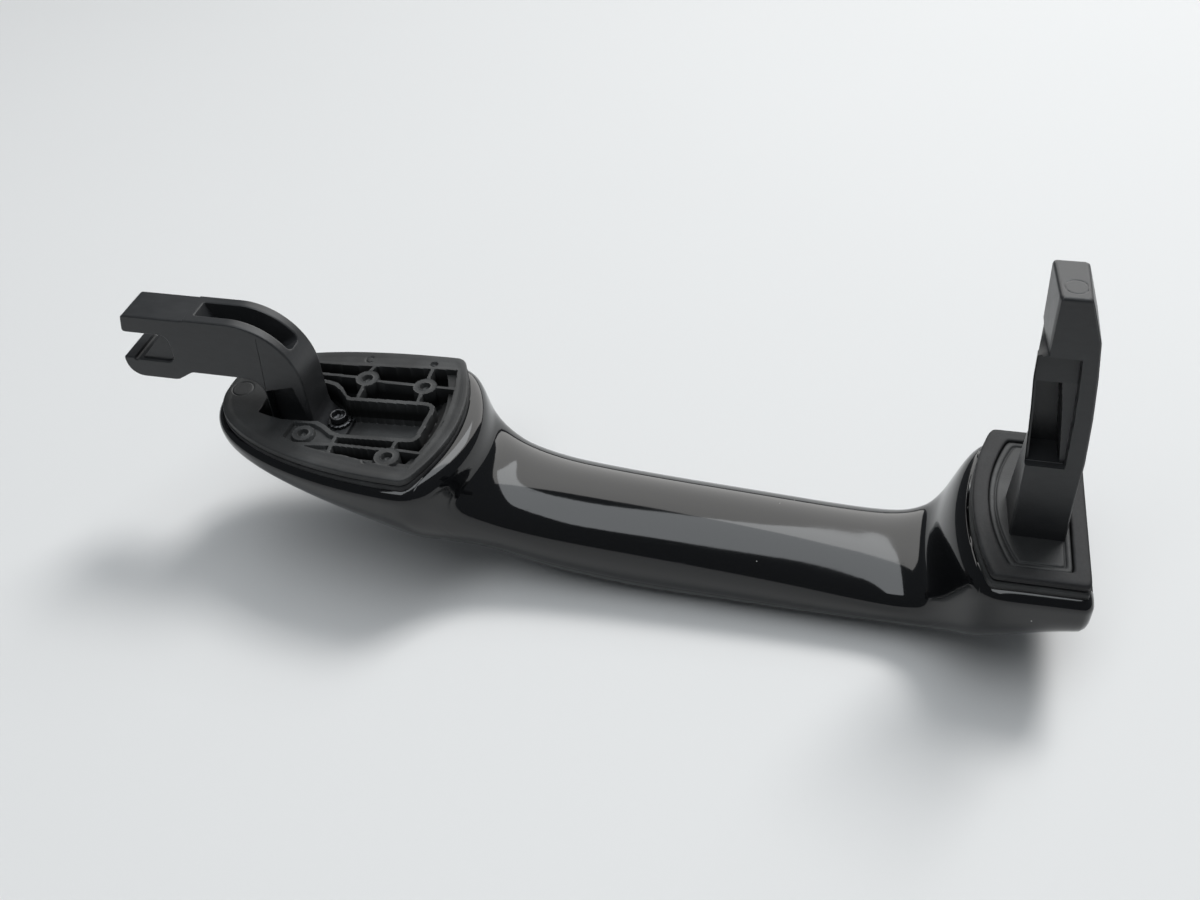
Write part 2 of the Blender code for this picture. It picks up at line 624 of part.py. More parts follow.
def build_hook_arm():
    half = ARM_THICKNESS / 2
    arm = outline_solid("front_hook_arm", arm_outline(), -half, half, MATTE_NYLON, upright=True)
    top = FRONT_TOP + ARM_HEIGHT
    right = LEG_X + LEG_WIDTH / 2
    centre = (right - BEND_RADIUS, top - BEND_RADIUS)
    outer = [(centre[0] - SLOT_WALL, top + 0.004)]
    outer += arc(centre, BEND_RADIUS + 0.004, 90, SLOT_END, 8)
    inner = arc(centre, BEND_RADIUS - SLOT_DEPTH, SLOT_END, 90, 8)
    inner += [(centre[0] - SLOT_WALL + 0.0026, top - SLOT_DEPTH)]
    slot = outline_solid("arm_slot", outer + inner, -SLOT_WIDTH / 2, SLOT_WIDTH / 2, upright=True)
    cut(arm, slot)
    low, high = (LEG_X - LEG_WIDTH, 0.0), (right - 0.0018, LEG_HOLLOW_TOP)
    for side, name in ((-1, "front_leg_hollow"), (1, "back_leg_hollow")):
        ys = sorted((side * (half - LEG_HOLLOW), side * (half + 0.002)))
        cut(arm, block(name, (low[0], ys[0], low[1]), (high[0], ys[1], high[1])))
    cut(arm, cylinder("hook_screw_hole", HOOK_SCREW_RADIUS + GAP, -0.02, FRONT_TOP, HOOK_SCREW_X, 0.0))
    return arm


def build_hook_fasteners():
    foot_top = FRONT_PLATE_TOP + GAP + FOOT_THICKNESS
    washer_low = foot_top + GAP
    washer = cylinder("hook_lock_washer", WASHER_RADIUS, washer_low, washer_low + WASHER_THICKNESS,
                      HOOK_SCREW_X, 0.0, STEEL)
    cut(washer, cylinder("washer_bore", HOOK_SCREW_RADIUS + GAP, -0.02, FRONT_TOP, HOOK_SCREW_X, 0.0))
    head_low = washer_low + WASHER_THICKNESS + GAP
    head_top = head_low + HOOK_HEAD
    tip = FRONT_PLATE_BOTTOM + GAP
    shank = HOOK_SCREW_RADIUS
    profile = [(0.0, head_top - 0.0009), (0.0011, head_top - 0.0009), (0.0011, head_top),
               (HOOK_HEAD_RADIUS - 0.0003, head_top), (HOOK_HEAD_RADIUS, head_top - 0.0003),
               (HOOK_HEAD_RADIUS, head_low), (shank, head_low), (shank, tip), (0.0, tip)]
    turned("hook_screw", profile, HOOK_SCREW_X, 0.0, STEEL)
    bore = shank + GAP
    low, high = FRONT_PLATE_BOTTOM - 0.0002, FRONT_PLATE_TOP
    ring = cylinder("hook_insert", INSERT_RADIUS, low, high, HOOK_SCREW_X, 0.0, BRASS)
    cut(ring, cylinder("insert_bore", bore, low - 0.01, high + 0.01, HOOK_SCREW_X, 0.0))


# ---- Rear seat: base, gasket and post ----------------------------------------------------------------
def build_rear_seat():
    gasket = outline_solid("rear_gasket", rear_outline(GAP), -REAR_GASKET, 0.0, RUBBER)
    cut(gasket, outline_solid("rear_frame_opening", rear_outline(GASKET_BAND), -0.01, 0.01))
    high = -REAR_GASKET - GAP
    base = outline_solid("rear_base", rear_outline(0.0), high - REAR_FLANGE, high, PAD_PLASTIC)
    panel = outline_solid("rear_panel", rear_outline(GASKET_BAND + GAP), high - 0.0005, REAR_PANEL_TOP)
    core = outline_solid("rear_core", rear_outline(SHELL_WALL + 0.0016), REAR_BASE_BOTTOM, high - 0.0005)
    join(base, panel, core)
    low, top = post_foot_box(GAP)
    cut(base, block("post_socket", (*low, REAR_BASE_BOTTOM - 0.005), (*top, 0.005)))
    for i, y in enumerate((-0.0150, 0.0150)):
        cut(base, cylinder(f"rear_base_hole_{i + 1}", SCREW_RADIUS + GAP, -0.03, -0.0045, POST_FOOT_X, y))
    return base


def post_foot_box(grow):
    """Lowest and highest corners, in plan, of the spigot under the post."""
    half = POST_FOOT_LENGTH / 2 + grow
    return (
        (POST_FOOT_X - half, POST_FRONT - grow),
        (POST_FOOT_X + half, POST_FRONT + POST_THICKNESS + grow),
    )


def post_outline():
    """Side view of the post: a foot, a leaning shaft and a head that is bevelled on its left."""
    left = POST_FOOT_X - POST_FOOT_LENGTH / 2
    right = POST_FOOT_X + POST_FOOT_LENGTH / 2
    bottom = REAR_BASE_BOTTOM
    head_left = left - 0.0016
    return [
        (left, bottom), (right, bottom), (right, 0.0015),
        (right - 0.0009, 0.0105), (right - 0.0003, 0.0220),
        (right - 0.0016, 0.0340), (right - 0.0028, 0.0440), (right - 0.0042, 0.0520),
        (head_left + POST_TOP_LENGTH + 0.0004, POST_HEIGHT - 0.0006),
        (head_left + POST_TOP_LENGTH - 0.0004, POST_HEIGHT),
        (head_left + 0.0010, POST_HEIGHT), (head_left + 0.0003, POST_HEIGHT - 0.0007),
        (head_left - 0.0004, POST_HEIGHT - HEAD_HEIGHT + 0.0010),
        (head_left + 0.0002, POST_HEIGHT - HEAD_HEIGHT),
        (left - 0.0012, 0.0300), (left - 0.0006, 0.0190), (left, 0.0015),
    ]


def build_post():
    back = POST_FRONT + POST_THICKNESS
    post = outline_solid("rear_post", post_outline(), POST_FRONT, back, MATTE_NYLON, upright=True)
    left = POST_FOOT_X - POST_FOOT_LENGTH / 2
    right = POST_FOOT_X + POST_FOOT_LENGTH / 2
    sill, lintel = POST_POCKET_SILL, POST_POCKET_SILL + POST_POCKET_HEIGHT
    pocket = [
        (left - 0.0006 + POST_WALL, sill), (right - POST_RIB - 0.0004, sill),
        (right - POST_RIB - 0.0022, lintel), (left - 0.0018 + POST_WALL, lintel),
    ]
    pocket_floor = POST_FRONT + POST_POCKET_DEPTH
    inner = outline_solid("post_pocket", pocket, POST_FRONT - 0.002, pocket_floor, upright=True)
    under_head = POST_HEIGHT - HEAD_HEIGHT
    # The face is stepped back from the sill up to the head, but for the rib along its right edge.
    face = [
        (left - 0.0100, sill - 0.0003), (right - POST_RIB, sill - 0.0003),
        (right - POST_RIB - 0.0024, under_head), (left - 0.0100, under_head),
    ]
    step = outline_solid("head_step", face, POST_FRONT - 0.004, POST_FRONT + HEAD_PROUD, upright=True)
    cut(post, step, inner)
    for i, y in enumerate((0.003, POST_THICKNESS - 0.003)):
        name, radius = f"post_screw_hole_{i + 1}", SCREW_RADIUS + GAP
        hole = cylinder(name, radius, -0.03, 0.0005, POST_FOOT_X, POST_FRONT + y)
        cut(post, hole)
    return post


# ---- Beam through the grip and its screws ------------------------------------------------------------
def beam_line():
    """Middle line of the beam's strap, from the front plate down the grip to the rear plate."""
    front = (FRONT_PLATE_TOP + FRONT_PLATE_BOTTOM) / 2
    rear = (REAR_PLATE_TOP + REAR_PLATE_BOTTOM) / 2
    deep = GRIP_BOTTOM + SHELL_WALL + 0.0085
    return [
        (FRONT_CORNER_X - 0.0120, front - 0.0006), (FRONT_CORNER_X - 0.0020, front - 0.0030),
        (FRONT_CORNER_X + 0.0080, front - 0.0105), (FRONT_CORNER_X + 0.0190, deep + 0.0035),
        (FRONT_CORNER_X + 0.0370, deep), (REAR_CORNER_X - 0.0370, deep - 0.0005),
        (REAR_CORNER_X - 0.0180, deep - 0.0005), (REAR_CORNER_X - 0.0070, deep + 0.0030),
        (REAR_CORNER_X + 0.0015, rear - 0.0030), (REAR_CORNER_X + 0.0063, rear - 0.0006),
    ]


STRAP_SCREWS = (0.0000, 0.0360)  # along the grip


def build_beam():
    line = np.array(beam_line())
    ahead = np.gradient(line, axis=0)
    ahead /= np.linalg.norm(ahead, axis=1)[:, None]
    side = np.stack([-ahead[:, 1], ahead[:, 0]], axis=1) * BEAM_THICKNESS / 2
    outline = [tuple(p) for p in np.concatenate([line + side, (line - side)[::-1]])]
    half = BEAM_WIDTH / 2
    beam = outline_solid("reinforcement_beam", outline, -half, half, BEAM_NYLON, upright=True)
    a, b, c = BOSSES[:3]
    plate = [
        (HOOK_SCREW_X - 0.0040, -0.0045), (c[0] - 0.0038, c[1] - 0.0026), (c[0] + 0.0036, c[1] - 0.0026),
        (FRONT_CORNER_X - 0.0016, -0.0060), (FRONT_CORNER_X - 0.0016, 0.0060),
        (b[0] + 0.0036, b[1] + 0.0032), (a[0] - 0.0006, a[1] + 0.0032), (HOOK_SCREW_X - 0.0040, 0.0045),
    ]
    front = outline_solid("beam_front_plate", plate, FRONT_PLATE_BOTTOM, FRONT_PLATE_TOP)
    inset = SHELL_WALL + 0.0030
    rear = outline_solid("beam_rear_plate", rear_outline(inset), REAR_PLATE_BOTTOM, REAR_PLATE_TOP)
    join(beam, front, rear)
    cut(beam, cylinder("insert_seat", INSERT_RADIUS + GAP, -0.02, 0.0, HOOK_SCREW_X, 0.0))
    for i, (x, y) in enumerate(screw_places()):
        cut(beam, cylinder(f"beam_hole_{i + 1}", SCREW_RADIUS + GAP, -0.05, 0.0, x, y))


def screw_places():
    """Every screw that comes up through the beam, in plan."""
    rear = [(POST_FOOT_X, -0.0150), (POST_FOOT_X, 0.0150)]
    post = [(POST_FOOT_X, POST_FRONT + 0.003), (POST_FOOT_X, POST_FRONT + POST_THICKNESS - 0.003)]
    strap = [(x, 0.0) for x in STRAP_SCREWS]
    return list(BOSSES[:3]) + rear + post + strap


def small_screw(name, x, y, under, reach):
    """A pan-head screw driven upwards: its head sits below the level `under`."""
    head_top = under - GAP
    profile = [(0.0, head_top + reach), (SCREW_RADIUS, head_top + reach - SCREW_RADIUS),
               (SCREW_RADIUS, head_top), (SCREW_HEAD_RADIUS, head_top),
               (SCREW_HEAD_RADIUS, head_top - SCREW_HEAD + 0.0004),
               (SCREW_HEAD_RADIUS - 0.0005, head_top - SCREW_HEAD), (0.0, head_top - SCREW_HEAD)]
    turned(name, profile, x, y, STEEL, steps=16)


def build_screws():
    places = screw_places()
    for i in range(3):
        small_screw(f"front_base_screw_{i + 1}", *places[i], FRONT_PLATE_BOTTOM, 0.0060)
    for i in range(2):
        small_screw(f"rear_base_screw_{i + 1}", *places[3 + i], REAR_PLATE_BOTTOM, 0.0065)
    for i in range(2):
        small_screw(f"rear_post_screw_{i + 1}", *places[5 + i], REAR_PLATE_BOTTOM, 0.0100)
    line = np.array(beam_line())
    for i in range(2):
        x = places[7 + i][0]
        under = float(np.interp(x, line[:, 0], line[:, 1])) - BEAM_THICKNESS / 2 - 0.0001
        small_screw(f"strap_screw_{i + 1}", *places[7 + i], under, 0.0080)


fork_tip = FRONT_X - ARM_REACH
build_shells()
build_front_base()
build_front_gasket()
build_hook_arm()
build_hook_fasteners()
build_rear_seat()
build_post()
build_beam()
build_screws()

lowest = min(body_ring(x, 0.0, False)[:, 2].min() for x in np.linspace(FRONT_X, REAR_X, 400))
root.location = (-(fork_tip + REAR_X) / 2, 0.0, -lowest)
bpy.context.view_layer.update()
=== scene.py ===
"""Strap door handle of a car: painted body, ribbed front seat with forked hook arm, rear seat and post."""

import math

import bpy
import mathutils.geometry
import numpy as np
from mathutils import Matrix, Vector


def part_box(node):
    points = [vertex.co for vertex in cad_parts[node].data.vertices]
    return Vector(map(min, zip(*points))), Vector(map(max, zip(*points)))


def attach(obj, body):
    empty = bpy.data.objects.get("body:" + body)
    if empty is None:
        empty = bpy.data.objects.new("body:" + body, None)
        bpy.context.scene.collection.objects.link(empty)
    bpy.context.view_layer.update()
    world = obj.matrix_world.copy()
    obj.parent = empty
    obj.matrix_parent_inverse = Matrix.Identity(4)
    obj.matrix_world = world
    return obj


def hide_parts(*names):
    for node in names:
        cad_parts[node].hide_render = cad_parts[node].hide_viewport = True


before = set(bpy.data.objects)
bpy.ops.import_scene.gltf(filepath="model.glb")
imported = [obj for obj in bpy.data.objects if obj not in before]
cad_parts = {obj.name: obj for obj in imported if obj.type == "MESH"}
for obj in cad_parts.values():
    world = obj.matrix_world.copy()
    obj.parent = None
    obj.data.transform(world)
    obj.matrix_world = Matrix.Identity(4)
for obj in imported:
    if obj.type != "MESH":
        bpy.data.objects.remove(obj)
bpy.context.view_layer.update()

# ---- Painted body -----------------------------------------------------------------------------------------
# Two injection-moulded shells under one coat of gloss black: the outer shell is a tub at both ends and the
# lower part of the grip, and the inner shell is the side of the grip that the fingers feel. Screws hold the
# inner shell to the beam; the seam runs low on the grip and climbs to the corners of both blocks.
mm = 0.001
body_low, body_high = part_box("outer_shell")
nose_x, tail_x = body_low.x, body_high.x
mid_x = (nose_x + tail_x) / 2
seat_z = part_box("rear_gasket")[1].z  # plane of the rear seat
front_seat_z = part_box("front_base")[1].z
half_front, half_rear = 23.8 * mm, body_high.y
corner_s, rear_corner_s = 57.0 * mm, 187.5 * mm  # corners of the two seats, from the tip of the nose
front_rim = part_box("front_gasket")[0].z - 0.3 * mm - seat_z
rear_rim = -4.7 * mm
nose_fullness, nose_lean = 2.6, 3.3 * mm
seam_share, seam_run, seam_gap = 0.34, 11 * mm, 0.10 * mm
rim_width, shell_wall = 3.0 * mm, 1.2 * mm


def eased(x, places, values):
    """Monotone cubic (Fritsch-Carlson) through the given values, for an array of x."""
    places, values = np.asarray(places, float), np.asarray(values, float)
    step = np.diff(places)
    slope = np.diff(values) / step
    before, after = slope[:-1], slope[1:]
    heavy, light = 2 * step[1:] + step[:-1], step[1:] + 2 * step[:-1]
    same = before * after > 0
    b, a = np.where(same, before, 1.0), np.where(same, after, 1.0)
    inner = np.where(same, (heavy + light) / (heavy / b + light / a), 0.0)
    tangent = np.concatenate([slope[:1], inner, slope[-1:]])
    i = np.clip(np.searchsorted(places, x, side="right") - 1, 0, len(step) - 1)
    h = step[i]
    t = (x - places[i]) / h
    rise = (2 * t**3 - 3 * t**2 + 1) * values[i] + (3 * t**2 - 2 * t**3) * values[i + 1]
    return rise + (t**3 - 2 * t**2 + t) * h * tangent[i] + (t**3 - t**2) * h * tangent[i + 1]


# Sections from the nose: place, bow, half width, top, bottom, upper and lower exponent, waist (all but the
# exponents and the waist in millimetres, heights from the rear seat plane).
rf, rr = front_rim / mm, rear_rim / mm
sections = np.array([
    (0.0, 0.0, 0.0, rf, 0.0, 8.0, 2.2, 0.50),
    (1.5, 0.0, 7.0, rf, -0.9, 8.0, 2.2, 0.52),
    (4.0, 0.0, 10.0, rf, -1.8, 8.0, 2.2, 0.56),
    (8.0, 0.0, 14.0, rf, -3.0, 8.0, 2.2, 0.62),
    (16.0, 0.0, 18.0, rf, -5.0, 8.0, 2.2, 0.66),
    (26.0, 0.0, 21.0, rf, -7.8, 8.0, 2.3, 0.70),
    (42.0, 0.0, 23.4, rf, -13.5, 8.0, 2.4, 0.71),
    (56.0, 6.0, 23.8, rf, -20.0, 8.0, 2.5, 0.72),
    (60.0, 6.0, 21.5, rf - 1.2, -22.2, 6.0, 2.5, 0.72),
    (63.0, 4.8, 18.8, -5.0, -23.8, 4.0, 2.5, 0.70),
    (68.0, 3.0, 16.2, -8.2, -26.0, 3.0, 2.5, 0.65),
    (76.0, 1.2, 14.3, -10.8, -29.4, 2.6, 2.4, 0.58),
    (90.0, 0.0, 13.7, -12.6, -33.6, 2.4, 2.4, 0.52),
    (114.0, 0.0, 13.6, -14.5, -36.1, 2.4, 2.4, 0.50),
    (140.0, 0.0, 13.8, -16.7, -35.8, 2.4, 2.4, 0.50),
    (160.0, 0.0, 14.3, -18.8, -34.6, 2.4, 2.4, 0.50),
    (170.0, 0.0, 14.9, -19.6, -33.3, 2.6, 2.5, 0.52),
    (176.0, -0.8, 16.2, -18.8, -31.8, 3.0, 2.6, 0.56),
    (180.0, -2.1, 17.8, -15.2, -30.5, 4.0, 2.8, 0.62),
    (183.0, -3.4, 20.0, -10.0, -29.2, 5.0, 3.0, 0.66),
    (186.0, -4.2, 22.7, rr - 1.2, -27.5, 6.0, 3.1, 0.70),
    (189.0, -4.2, 24.2, rr, -25.5, 8.0, 3.2, 0.74),
    (194.0, -2.1, 24.4, rr, -22.6, 8.0, 3.3, 0.74),
    (200.0, 0.0, 24.4, rr, -19.6, 8.0, 3.2, 0.74),
    (208.0, 0.0, 24.4, rr, -16.6, 8.0, 3.2, 0.74),
])


# The sections are eased every quarter millimetre and then softened along the body, the rims least of all.
fine = np.arange(-12, 220, 0.25)
softened = []
for column, spread in enumerate((1.5, 1.8, 0.7, 3.0, 2.5, 3.0, 3.0), start=1):
    reach = np.arange(-32, 33) * 0.25
    weight = np.exp(-((reach / spread) ** 2) / 2)
    raw = eased(np.clip(fine, 0, 208), sections[:, 0], sections[:, column])
    smooth_run = np.convolve(np.pad(raw, 32, mode="edge"), weight / weight.sum(), mode="valid")
    softened.append(smooth_run)


def section_at(s):
    """Bow, half width, top, bottom, exponents and waist height of the body at s behind the nose's tip."""
    bow, wide, top, bottom = (np.interp(s / mm, fine, softened[i]) * mm for i in (0, 1, 2, 3))
    upper, lower, waist = (np.interp(s / mm, fine, softened[i]) for i in (4, 5, 6))
    share = np.clip(1 - s / corner_s, 0, 1)
    nose = half_front * (1 - share**2) ** (1 / nose_fullness)
    wide = np.where(s < 50 * mm, nose, wide)
    top = np.where(s < 54 * mm, front_rim, top)
    top = np.where(s > rear_corner_s + 2.5 * mm, rear_rim, top)
    return bow, wide, top, bottom, upper, lower, bottom + (top - bottom) * waist


def body_surface(s, turn, inset=0.0):
    """Upper and lower superellipse halves in polar form; the section bows along x and leans with the nose."""
    bow, wide, top, bottom, upper, lower, waist = section_at(s)
    c, q = np.cos(turn), np.sin(turn)
    power = np.where(q >= 0, upper, lower)
    reach = (np.abs(c) ** power + np.abs(q) ** power) ** (-1 / power)
    across = (wide - inset) * reach * c
    rise = np.where(q >= 0, top - waist - inset, waist - bottom - inset) * reach * q
    share = np.clip(1 - s / corner_s, 0, 1)
    x = nose_x + s + bow * (1 - np.clip(across / np.maximum(wide, 1e-6), -1, 1) ** 2)
    return np.stack([x, across + nose_lean * share**2, seat_z + waist + rise], axis=-1)


def rim_turn(s):
    """Polar angle of the rim's inner edge, which is flat and rim_width wide."""
    _, wide, _, _, upper, _, _ = section_at(s)
    c = np.clip(1 - rim_width / np.maximum(wide, 1e-6), 0, 1)
    return np.arctan2((1 - c**upper) ** (1 / upper), c)


def seam_turn(s, offset):
    """Polar angle of the seam, which keeps to a share of the height and climbs to the blocks' corners."""
    _, _, top, bottom, upper, lower, waist = section_at(s)
    climb = np.maximum(1 - (s - corner_s) / seam_run, 1 - (rear_corner_s - s) / seam_run)
    climb = np.clip(climb, 0, 1) ** 1.6
    low = bottom + (top - bottom) * seam_share
    z = low + (top - 0.05 * mm - low) * climb + offset
    under = np.clip((waist - z) / (waist - bottom), 0, 1)
    over = np.clip((z - waist) / (top - waist), 0, 1)
    down = -np.arctan2(under, (1 - under**lower) ** (1 / lower))
    up = np.arctan2(over, (1 - over**upper) ** (1 / upper))
    return np.where(z < waist, down, up)


def grid_normals(points):
    """Unit normals of a grid of points, from the cross product of its two directions."""
    normal = np.cross(np.gradient(points, axis=1), np.gradient(points, axis=0))
    return normal / np.maximum(np.linalg.norm(normal, axis=-1, keepdims=True), 1e-12)


def lipped(points, side=1):
    """Both long edges of a grid rolled under by a small radius, which fades out at the blocks."""
    normal = grid_normals(points) * side
    along = points[:, 0, 0] - nose_x
    grip = np.minimum(along - corner_s - 2 * mm, rear_corner_s - 2 * mm - along)
    fade = np.clip(grip / (3 * mm), 0, 1)[:, None] + 1e-3

    def roll(edge, inner, n):
        out = edge - inner
        out = out / np.maximum(np.linalg.norm(out, axis=-1, keepdims=True), 1e-12)
        steps = ((0.05, 0.02), (0.09, 0.07), (0.10, 0.20))
        return [edge + (out * a - n * b) * mm * fade for a, b in steps]

    first = roll(points[:, 0], points[:, 1], normal[:, 0])[::-1]
    last = roll(points[:, -1], points[:, -2], normal[:, -1])
    return np.concatenate([np.stack(first, 1), points, np.stack(last, 1)], axis=1)


def grid_piece(name, points, loop=False, flip=False):
    """A mesh object from a grid of points; loop joins the last column to the first."""
    rows, columns = points.shape[:2]
    index = np.arange(rows * columns).reshape(rows, columns)
    if loop:
        index = np.concatenate([index, index[:, :1]], axis=1)
    quads = np.stack([index[:-1, :-1], index[1:, :-1], index[1:, 1:], index[:-1, 1:]], axis=-1).reshape(-1, 4)
    if flip:
        quads = quads[:, ::-1]
    mesh = bpy.data.meshes.new(name)
    mesh.from_pydata(points.reshape(-1, 3).tolist(), [], quads.tolist())
    mesh.shade_smooth()
    piece = bpy.data.objects.new(name, mesh)
    bpy.context.scene.collection.objects.link(piece)
    return piece


def thickened(piece, wall):
    """A live Solidify that adds the wall on the inner side."""
    solid = piece.modifiers.new("wall", "SOLIDIFY")
    solid.thickness = wall
    solid.offset = -1
    return piece


# Rows crowd together at the corners, where the seam climbs steeply, and both shells share those of the grip.
tip_run = 6 * mm
tip_rows = tip_run * np.linspace(0.03, 1, 26) ** 2.2
near_corner = np.concatenate([np.arange(-0.4, 4, 0.1), np.arange(4, 9, 0.25)]) * mm
grip_rows = np.linspace(corner_s + 9 * mm, rear_corner_s - 9 * mm, 124)
shared_s = np.concatenate([corner_s + near_corner, grip_rows, rear_corner_s - near_corner[::-1]])
blend_rows = np.arange(1.5, 0.45, -0.1) * mm
outer_s = np.concatenate([
    tip_rows, np.linspace(tip_run, corner_s - 1.7 * mm, 72)[1:], corner_s - blend_rows, shared_s,
    rear_corner_s + blend_rows[::-1], np.linspace(rear_corner_s + 1.7 * mm, 207 * mm, 27)])[:, None]
blend = np.clip((outer_s - (corner_s - 1.2 * mm)) / (0.8 * mm), 0, 1)
blend *= np.clip((rear_corner_s + 1.2 * mm - outer_s) / (0.8 * mm), 0, 1)
edge_turn = rim_turn(outer_s) * (1 - blend) + seam_turn(outer_s, -seam_gap / 2) * blend
share = np.linspace(0, 1, 95)[None, :]
outer_turn = edge_turn - share * (math.pi + 2 * edge_turn)
outer_grid = body_surface(outer_s, outer_turn)
# The tail: the section shrinks over a small radius, then a flat end rises to the rim.
end_radius = 1.2 * mm
for angle in np.radians([20, 42, 64, 82, 90]):
    last_s = np.full((1, 1), tail_x - nose_x)
    ring = body_surface(last_s, outer_turn[-1:], end_radius * (1 - math.cos(angle)))
    ring[..., 0] += end_radius * (math.sin(angle) - 1)
    outer_grid = np.concatenate([outer_grid, ring])
flat = outer_grid[-1:]
top_z = flat[..., 2].max()
for lift in np.linspace(0.1, 1, 10):
    raised = flat.copy()
    raised[..., 2] += (top_z - 0.2 * mm - raised[..., 2]) * lift
    outer_grid = np.concatenate([outer_grid, raised])
painted_outer = thickened(grid_piece("painted_outer_shell", lipped(outer_grid, -1), flip=True), shell_wall)

inner_s = shared_s[:, None]
seam = seam_turn(inner_s, seam_gap / 2)
inner_turn = seam + np.linspace(0, 1, 91)[None, :] * (math.pi - 2 * seam)
inner_grid = body_surface(inner_s, inner_turn)
painted_inner = thickened(grid_piece("painted_inner_shell", lipped(inner_grid, 1)), shell_wall)


class Wire:
    """One socket of a finish's node tree. + - * with wires or numbers add Math nodes; node() adds others."""

    def __init__(self, tree, socket=None):
        self.tree, self.socket = tree, socket

    def node(self, kind, settings=None, sockets=None, out=0):
        made = self.tree.nodes.new("ShaderNode" + kind)
        for key, value in (settings or {}).items():
            if key == "stops":
                ramp = made.color_ramp.elements
                for stop, (place, shade) in zip((ramp[0], ramp[1]), (value[0], value[-1])):
                    stop.position, stop.color = place, (shade, shade, shade, 1)
                for place, shade in value[1:-1]:
                    ramp.new(place).color = (shade, shade, shade, 1)
            else:
                setattr(made, key, value)
        for key, value in (sockets or {}).items():
            if isinstance(value, Wire):
                self.tree.links.new(value.socket, made.inputs[key])
            else:
                made.inputs[key].default_value = value
        return Wire(self.tree, made.outputs[out])

    def math(self, operation, a, b):
        return self.node("Math", {"operation": operation}, {0: a, 1: b})

    def __add__(self, other):
        return self.math("ADD", self, other)

    def __sub__(self, other):
        return self.math("SUBTRACT", self, other)

    def __rsub__(self, other):
        return self.math("SUBTRACT", other, self)

    def __mul__(self, other):
        return self.math("MULTIPLY", self, other)

    __radd__, __rmul__ = __add__, __mul__

    def ramp(self, *stops):
        """This value through a ramp of (place, level) stops."""
        return self.node("ValToRGB", {"stops": stops}, {"Fac": self})

    def noise(self, scale, detail=2.0, stretch=(1, 1, 1), turn=(0, 0, 0)):
        """Noise in object space: scale in cells per metre, stretched and turned by a Mapping node."""
        place = self.node("TexCoord", out="Object")
        place = self.node("Mapping", {}, {"Vector": place, "Scale": stretch, "Rotation": turn})
        return self.node("TexNoise", {}, {"Vector": place, "Scale": scale, "Detail": detail}, out="Fac")

    def specks(self, scale, size, share):
        """Round specks: cells per metre, radius as a share of a cell, and the share of cells with one."""
        place = self.node("TexCoord", out="Object")
        cell = self.node("TexVoronoi", {}, {"Vector": place, "Scale": scale}, out="Distance")
        pick = self.node("TexVoronoi", {}, {"Vector": place, "Scale": scale}, out="Color")
        chosen = self.math("LESS_THAN", self.node("SeparateColor", {}, {"Color": pick}, out="Red"), share)
        return self.math("LESS_THAN", cell, size) * chosen

    def tint(self, share, low, high):
        """A colour between two colours."""
        sockets = {"Factor": share, 6: (*low, 1), 7: (*high, 1)}
        return self.node("Mix", {"data_type": "RGBA"}, sockets, out=2)

    def bump(self, height, strength, distance):
        return self.node("Bump", {}, {"Height": height, "Strength": strength, "Distance": distance})


def finish(name, **constants):
    """A material with its constant values set on the shader itself; returns it and a wire on its tree."""
    material = bpy.data.materials.new(name)
    material.use_nodes = True
    shader = material.node_tree.nodes["Principled BSDF"]
    for key, value in constants.items():
        shader.inputs[key.replace("_", " ")].default_value = value
    return material, Wire(material.node_tree)


def feed(material, **wires):
    """Links wires to sockets of a finish's shader."""
    shader = material.node_tree.nodes["Principled BSDF"]
    for key, wire in wires.items():
        material.node_tree.links.new(wire.socket, shader.inputs[key.replace("_", " ")])


def coat_with(node, material):
    """Puts a finish on a CAD node that stays as it is."""
    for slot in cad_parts[node].material_slots:
        slot.material = material


def place_piece(piece, material, slot, *nodes):
    """A new piece rides on the handle, takes its finish and stands for its CAD nodes."""
    piece.data.materials.append(material)
    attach(piece, "root")
    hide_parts(*nodes)


gloss_black, wire = finish("gloss_black_paint", Specular_IOR_Level=0.42, Coat_Weight=0.2, Coat_Roughness=0.02)
dust = wire.specks(300, 0.05, 0.10)
wear = wire.noise(26, 5).ramp((0.5, 0), (0.78, 1))
hairline = wire.noise(60, 3, (1, 14, 14), (0.2, 0.3, 0.7)).ramp((0.68, 0), (0.7, 1), (0.71, 1), (0.73, 0))
peel = wire.noise(260, 2)
feed(gloss_black,
     Base_Color=wire.tint(dust, (0.0035, 0.0037, 0.0042), (0.42, 0.42, 0.41)),
     Roughness=0.07 + wear * 0.06 + hairline * 0.1 + dust * 0.4,
     Normal=wire.bump(peel + hairline * 0.4, 0.025, 0.0004))
place_piece(painted_outer, gloss_black, "gloss_paint", "outer_shell")
place_piece(painted_inner, gloss_black, "gloss_paint", "inner_shell")

# ---- Front base -------------------------------------------------------------------------------------------
# The seat that meets the door skin at the front: one injection moulding in black grained plastic, a plain
# border round a recess that is cored out between ribs, with four ringed bosses for the screws from below and
# an opening that the hook's leg goes down through.
pad_tip, pad_length, pad_half = nose_x + 0.7 * mm, 56.3 * mm, half_front - 0.7 * mm
pad_bulge, pad_corner = 6.0 * mm, 2.0 * mm
pad_top = front_seat_z
flange_under = pad_top - 1.6 * mm
tray_under, tray_tip = seat_z - 2.4 * mm, mid_x - 92.5 * mm
pad_recess = [(-83.9, 15.2), (-76.7, 15.5), (-66.1, 16.5), (-47.4, 18.1), (-45.8, 11.2), (-45.0, 4.8),
              (-44.6, -2.0), (-45.1, -6.9), (-45.9, -11.8), (-47.6, -18.5), (-49.5, -18.8), (-57.7, -18.1),
              (-63.9, -17.0), (-68.8, -16.6), (-76.6, -15.2), (-81.7, -13.1), (-81.3, -7.9), (-80.0, -6.0),
              (-80.0, 6.0), (-83.9, 8.0)]
